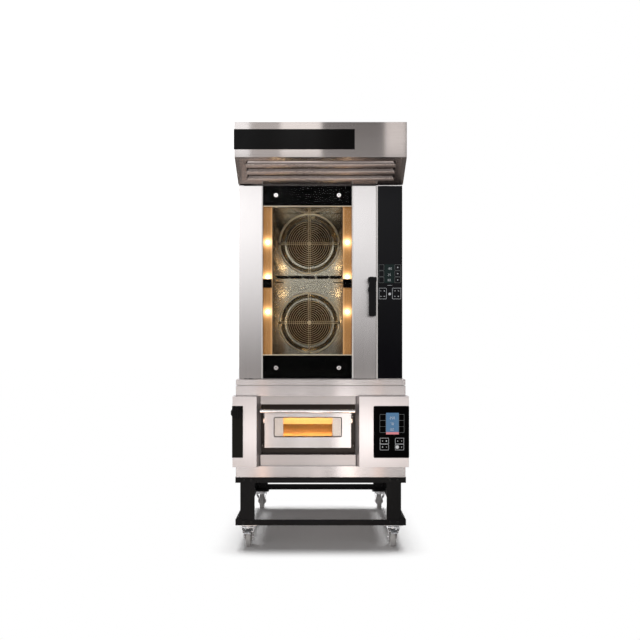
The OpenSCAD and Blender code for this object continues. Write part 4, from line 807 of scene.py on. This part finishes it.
def bakeShape(name, tree, verts, edges, values, material, body):
    drawn = bpy.data.meshes.new(name)
    drawn.from_pydata(verts, edges, [])
    carrier = addObject(name, drawn)
    shape = carrier.modifiers.new("shape", "NODES")
    shape.node_group = tree
    values = dict(values, Material=finish[material])
    for item in tree.interface.items_tree:
        if item.in_out == "INPUT" and item.name in values:
            shape[item.identifier] = values[item.name]
    done = carrier.evaluated_get(bpy.context.evaluated_depsgraph_get())
    mesh = bpy.data.meshes.new_from_object(done)
    carrier.modifiers.clear()
    bpy.data.objects.remove(carrier)
    return addPiece(name, mesh, material, body)


def bead(name, loops, radius, material, body, slot, **values):
    verts = []
    edges = []
    for loop in loops:
        first = len(verts)
        verts += [tuple(point) for point in loop]
        edges += [(i, i + 1) for i in range(first, len(verts) - 1)]
        edges.append((len(verts) - 1, first))
    return bakeShape(name, beadTree, verts, edges, dict(values, Radius=radius), material, body)


facings = {"front": (math.radians(90), 0.0, 0.0), "left": (0.0, math.radians(-90), 0.0),
           "right": (0.0, math.radians(90), 0.0)}


def studs(name, points, radius, rise, facing, material, body):
    values = {"Radius": radius, "Rise": rise, "Facing": facings[facing]}
    return bakeShape(name, studTree, points, [], values, material, body)


def turned(name, profile, place, material, body, steps=28):
    verts = [(place[0] + r * math.cos(i * math.tau / steps), place[1] + r * math.sin(i * math.tau / steps),
              place[2] + h) for r, h in profile for i in range(steps)]
    faces = [(row + i, row + (i + 1) % steps, row + steps + (i + 1) % steps, row + steps + i)
             for row in range(0, len(verts) - steps, steps) for i in range(steps)]
    faces += [tuple(range(steps - 1, -1, -1)), tuple(range(len(verts) - steps, len(verts)))]
    mesh = bpy.data.meshes.new(name)
    mesh.from_pydata(verts, [], faces)
    mesh.shade_smooth()
    return addPiece(name, mesh, material, body)


# black bands printed behind the door glass, with clear rings at the standoffs, and the strips round it; the
# pale strips along the glass edges glow, a painted highlight
bandSet = {
    "inset": 0.4 * mm,
    "gap": 0.15 * mm,  # behind the glass
    "thick": 0.6 * mm,
    "holeRadius": 9.6 * mm,
    "socket": 4.2 * mm,
    "socketLift": 0.35 * mm,
    "socketThick": 0.5 * mm,
    "patch": 46 * mm,  # square patches that hide the lamp cables
    "patchCorner": 2 * mm,
    "patchDrop": 14 * mm,
    "trim": 3.0 * mm,
    "stripLift": 0.7 * mm,
    "leftEdge": (-6 * mm, -2 * mm),  # from the side of the glass
    "rightEdge": (1.5 * mm, 7 * mm),
    "columnEdge": (0.8 * mm, 5.8 * mm),  # from the side of the column
    "seamInset": 1.2 * mm,
    "seamHalf": 0.75 * mm,
    "seamLift": 0.5 * mm,
    "seamThick": 0.4 * mm,
}


def makeBands():
    windowLow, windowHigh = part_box("door_lamp_columns")
    standoffs = [v.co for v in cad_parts["door_standoffs"].data.vertices]
    halfway = (doorLow.z + doorHigh.z) / 2
    thick = bandSet["thick"]
    y = glassHigh.y + bandSet["gap"]
    x0 = glassLow.x + bandSet["inset"]
    x1 = glassHigh.x - bandSet["inset"]
    loops = [roundedBox(x0, x1, windowHigh.z, glassHigh.z), roundedBox(x0, x1, glassLow.z, windowLow.z)]
    sockets = []
    for right in (False, True):
        for upper in (False, True):
            near = [co for co in standoffs if (co.x > windowMiddle, co.z > halfway) == (right, upper)]
            x = (min(co.x for co in near) + max(co.x for co in near)) / 2
            z = (min(co.z for co in near) + max(co.z for co in near)) / 2
            loops.append(disc(x, z, bandSet["holeRadius"]))
            sockets.append(disc(x, z, bandSet["socket"], 6))
    flatPlate("door_glass_bands", loops, y, thick, "bandBlack", "oven_door")
    front = min(co.y for co in standoffs) - bandSet["socketLift"]
    flatPlate("door_standoff_sockets", sockets, front, bandSet["socketThick"], "sealBlack",
              "oven_door")
    size = bandSet["patch"]
    foot = (windowLow.z + windowHigh.z) / 2 - bandSet["patchDrop"] - size / 2
    patches = [roundedBox(x, x + size, foot, foot + size, bandSet["patchCorner"]) for x in (x0, x1 - size)]
    flatPlate("door_glass_patches", patches, y, thick, "bandBlack", "oven_door")
    trims = [roundedBox(x0, x1, z - bandSet["trim"] / 2, z + bandSet["trim"] / 2)
             for z in (windowLow.z, windowHigh.z)]
    lift = bandSet["stripLift"]
    # the trims' gold is the guard's lighter golden steel: painted lamp light
    flatPlate("door_window_trims", trims, glassLow.y - lift, thick, "steelGuard",
              "oven_door")
    low = doorLow.z + bandSet["inset"]
    high = doorHigh.z - bandSet["inset"]
    sides = ((glassLow.x, bandSet["leftEdge"]), (glassHigh.x, bandSet["rightEdge"]))
    edges = [roundedBox(x + first, x + last, low, high) for x, (first, last) in sides]
    flatPlate("door_edge_strips", edges, doorLow.y - lift, thick, "edgePale",
              "oven_door")
    x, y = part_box("control_column")[0].xy
    first, last = bandSet["columnEdge"]
    edge = roundedBox(x + first, x + last, low, high)
    flatPlate("column_edge_strip", [edge], y - lift, thick, "edgePale")
    half = bandSet["seamHalf"]
    seams = [roundedBox(x - half, x + half, low, high)
             for x in (glassLow.x + bandSet["seamInset"], glassHigh.x - bandSet["seamInset"])]
    flatPlate("door_glass_seals", seams, glassLow.y - bandSet["seamLift"], bandSet["seamThick"],
              "sealBlack", "oven_door")


# seal behind the inner glass, and polished rims, nuts and a latch on the baffle
innerSet = {
    "sealInset": 5 * mm,
    "sealCorner": 12 * mm,
    "sealRadius": 1.3 * mm,
    "rimRadius": 183 * mm,
    "rimBead": 6.0 * mm,
    "nutReach": 180.5 * mm,
    "nutBack": 2.2 * mm,
    "nutRadius": 6.5 * mm,
    "nutRise": 5 * mm,
    "seamRise": 36.5 * mm,
    "slots": [(-216.5, -142), (-131, -58), (-45, 33), (44, 120.6), (132.8, 207.5)],  # from the fans' middle
    "slotHeights": (-3, 10),  # from the baffle's seam
    "lines": [(-216, -157), (149, 207)],
    "lineHeights": (-35, -30),
    "markLift": 0.6 * mm,
    "markThick": 0.5 * mm,
    "latch": [(11, 0), (11, 4), (6, 8), (5, 24), (8.5, 28), (10.5, 34), (9.5, 41), (5, 46.5), (0.5, 48)],
    "latchOut": 14 * mm,
    "latchRise": 0.5 * mm,
}


def makeInside():
    inset = innerSet["sealInset"]
    radius = innerSet["sealRadius"]
    corners = roundedBox(innerLow.x + inset, innerHigh.x - inset, innerLow.z + inset, innerHigh.z - inset,
                         innerSet["sealCorner"])
    loop = [(x, innerHigh.y + radius, z) for x, z in corners]
    bead("inner_glass_seal", [loop], radius, "sealBlack", "oven_door", "seal_rubber", Sides=8)
    rims = []
    nuts = []
    for part in ("fan_guard_upper", "fan_guard_lower"):
        low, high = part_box(part)
        middle = (low + high) / 2
        rims.append([(x, high.y, z) for x, z in disc(middle.x, middle.z, innerSet["rimRadius"], 96)])
        nuts += [(middle.x + side * innerSet["nutReach"], low.y + innerSet["nutBack"], middle.z)
                 for side in (-1, 1)]
    bead("baffle_rims", rims, innerSet["rimBead"], "steelRim", "tower", "cavity_stainless", Sides=10)
    studs("baffle_nuts", nuts, innerSet["nutRadius"], innerSet["nutRise"], "front", "steelBright", "tower")
    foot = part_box("fan_baffle")[0]
    seam = (nuts[0][2] + nuts[-1][2]) / 2 + innerSet["seamRise"]
    for kind in ("slot", "line"):
        z0, z1 = innerSet[f"{kind}Heights"]
        loops = [roundedBox(middle.x + x0 * mm, middle.x + x1 * mm, seam + z0 * mm, seam + z1 * mm)
                 for x0, x1 in innerSet[f"{kind}s"]]
        flatPlate(f"baffle_{kind}s", loops, foot.y - innerSet["markLift"], innerSet["markThick"], "sealBlack")
    profile = [(r * mm, h * mm) for r, h in innerSet["latch"]]
    place = (middle.x, foot.y - innerSet["latchOut"], foot.z + innerSet["latchRise"])
    turned("baffle_latch", profile, place, "steelBright", "tower")


# deck door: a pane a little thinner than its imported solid, and the dark seal round it
deckWindowSet = {
    "corner": 15 * mm,
    "paneInset": 0.4 * mm,
    "sealGaps": (6.6 * mm, 10.4 * mm),  # outer and inner edge of the seal, from the edge of the glass
    "sealTurn": 0.9,  # how fast the seal's corners tighten inwards
    "sealLift": 0.3 * mm,
    "sealThick": 1.8 * mm,
}


def makeDeckWindow():
    low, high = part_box("deck_door_glass")
    corner = deckWindowSet["corner"]
    inset = deckWindowSet["paneInset"]
    outline = roundedBox(low.x, high.x, low.z, high.z, corner)
    pane = flatPlate("deck_window_pane", [outline], low.y + inset, high.y - low.y - 2 * inset, "deckGlass",
                     "deck_door")
    pane.visible_shadow = False
    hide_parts("deck_door_glass")
    ring = [roundedBox(low.x + gap, high.x - gap, low.z + gap, high.z - gap,
                       corner - gap * deckWindowSet["sealTurn"]) for gap in deckWindowSet["sealGaps"]]
    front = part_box("deck_door_panel")[0].y - deckWindowSet["sealLift"]
    flatPlate("deck_window_seal", ring, front, deckWindowSet["sealThick"], "sealBlack",
              "deck_door")


# prints of the two touch panels, in millimetres from the lower left corner of each panel
segments = {"a": (0, 2, 1, 2), "b": (1, 1, 1, 2), "c": (1, 0, 1, 1), "d": (0, 0, 1, 0), "e": (0, 0, 0, 1),
            "f": (0, 1, 0, 2), "g": (0, 1, 1, 1)}
figures = {"0": "abcdef", "1": "bc", "2": "abged", "5": "afgcd", "6": "afgcde", "7": "abc", "8": "abcdefg"}
ovenPrint = {
    "screen": (34, 85, 496, 593),
    "numbers": [("180", 50, 566), ("25", 53, 534), ("60", 53, 506)],
    "numberHeight": 10,
    "keys": {"left": ([(19, 577), (19, 544.5), (19, 512)], 26, 29),
             "right": ([(103.5, 577), (103.5, 544.5), (103.5, 512)], 30, 29)},
    "pads": {"left": ([(26, 441.5)], 38, 56), "right": ([(98, 441.5)], 44, 56)},
    "marks": [(16, 455, 4, 3), (34, 455, 5, 5), (16, 427, 7, 3), (34, 427, 7, 3), (89, 455, 6, 3),
              (107, 455, 6, 3), (89, 427, 5, 4), (107, 427, 6, 5), (103.5, 577, 6, 6), (103.5, 544.5, 7, 4),
              (103.5, 512, 5, 5), (62, 484, 24, 1.6)],
    "icon": (62, 439, 7),
}
deckPrint = {
    "screen": (64, 130, 133, 232),
    "pink": (64, 130, 121, 133),
    "numbers": [("250", 84, 200), ("70", 88, 170), ("60", 88, 141)],
    "numberHeight": 11,
    "keys": {"left": ([(48, 208.5), (48, 177), (48, 146)], 31, 31),
             "right": ([(143.5, 208.5), (143.5, 177), (143.5, 146)], 27, 31)},
    "pads": {"left": ([(55.5, 87), (55.5, 56)], 44, 30), "right": ([(133.5, 87), (133.5, 56)], 44, 30)},
    "marks": [(46, 87, 4, 4), (66, 87, 5, 8), (46, 56, 5, 6), (66, 56, 4, 3), (124, 87, 5, 4),
              (144, 87, 4, 4), (144, 56, 5, 4)],
    "icon": (122, 56, 9),
}
printSet = {
    "lift": 0.12 * mm,
    "thick": 0.2 * mm,
    "numberLift": 0.25 * mm,  # in front of the screens
    "figureWidth": 0.5,  # of its height
    "figureLine": 0.16,  # of its height
    "figureGap": 2.2,  # of its line
    "screenCorner": 1.5,
    "keyCorner": 2.5 * mm,
    "keyLine": 1.5 * mm,
}


def numberLoops(text, x, z, height):
    wide = height * printSet["figureWidth"]
    line = height * printSet["figureLine"]
    loops = []
    for i, figure in enumerate(text):
        left = x + i * (wide + line * printSet["figureGap"])
        for letter in figures[figure]:
            x0, z0, x1, z1 = segments[letter]
            sideways, upward = (0.5, -0.6) if x0 == x1 else (-0.6, 0.5)  # ends stay clear of each other
            loops.append(roundedBox(left + x0 * wide - line * sideways, left + x1 * wide + line * sideways,
                                    z + z0 * height / 2 - line * upward, z + z1 * height / 2 + line * upward))
    return loops


def makePrint(name, values, corner, screen):
    thick = printSet["thick"]
    y = corner.y - printSet["lift"] - thick

    def put(part, loops, material, lift=0.0):
        placed = [[(corner.x + x * mm, corner.z + z * mm) for x, z in loop] for loop in loops]
        flatPlate(f"{name}_{part}", placed, y - lift, thick, material)

    x0, x1, z0, z1 = values["screen"]
    put("screen", [roundedBox(x0, x1, z0, z1, printSet["screenCorner"])], screen)
    if "pink" in values:
        put("screen_foot", [roundedBox(*values["pink"])], "screenPink")
    height = values["numberHeight"]
    loops = [loop for number, x, z in values["numbers"] for loop in numberLoops(number, x, z, height)]
    put("numbers", loops, "printWhite", printSet["numberLift"])
    put("marks", [roundedBox(x - w / 2, x + w / 2, z - h / 2, z + h / 2, min(w, h) / 4)
                  for x, z, w, h in values["marks"]], "printWhite")
    put("icon", [disc(*values["icon"])], "printWhite")
    for group, ink in (("keys", "printGrey"), ("pads", "printWhite")):
        for side, (points, wide, high) in values[group].items():
            places = [(corner.x + x * mm, y + thick / 2, corner.z + z * mm) for x, z in points]
            sizes = {"Width": wide * mm, "Height": high * mm, "Corner": printSet["keyCorner"],
                     "Line": printSet["keyLine"], "Thickness": thick}
            bakeShape(f"{name}_{group}_{side}", keyTree, places, [], sizes, ink, "tower")


# screws in the sides of the casings and the hood
screwSet = {
    "radius": 3.6 * mm,
    "rise": 2.0 * mm,
    "inset": 22 * mm,  # from the edges of a side
    "spacing": 160 * mm,
    "rowGap": 420 * mm,
}


def makeScrews():
    for part in ("oven_casing", "deck_casing", "hood_shell"):
        low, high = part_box(part)
        inset = screwSet["inset"]
        span = high.z - low.z - 2 * inset
        count = max(2, round(span / screwSet["spacing"]) + 1)
        heights = [low.z + inset + i * span / (count - 1) for i in range(count)]
        back = high.y - inset
        for facing, x in (("left", low.x), ("right", high.x)):
            points = [(x, y, z) for y in (back, back - screwSet["rowGap"]) for z in heights]
            studs(f"{part}_screws_{facing}", points, screwSet["radius"], screwSet["rise"], facing,
                  "steelBright", "tower")


makeBands()
print("door glass is printed")
makeInside()
makeDeckWindow()
makePrint("oven_print", ovenPrint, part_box("control_glass")[0], "screenDark")
makePrint("deck_print", deckPrint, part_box("deck_control_glass")[0], "screenBlue")
makeScrews()
print("inside, windows, prints and screws are made")
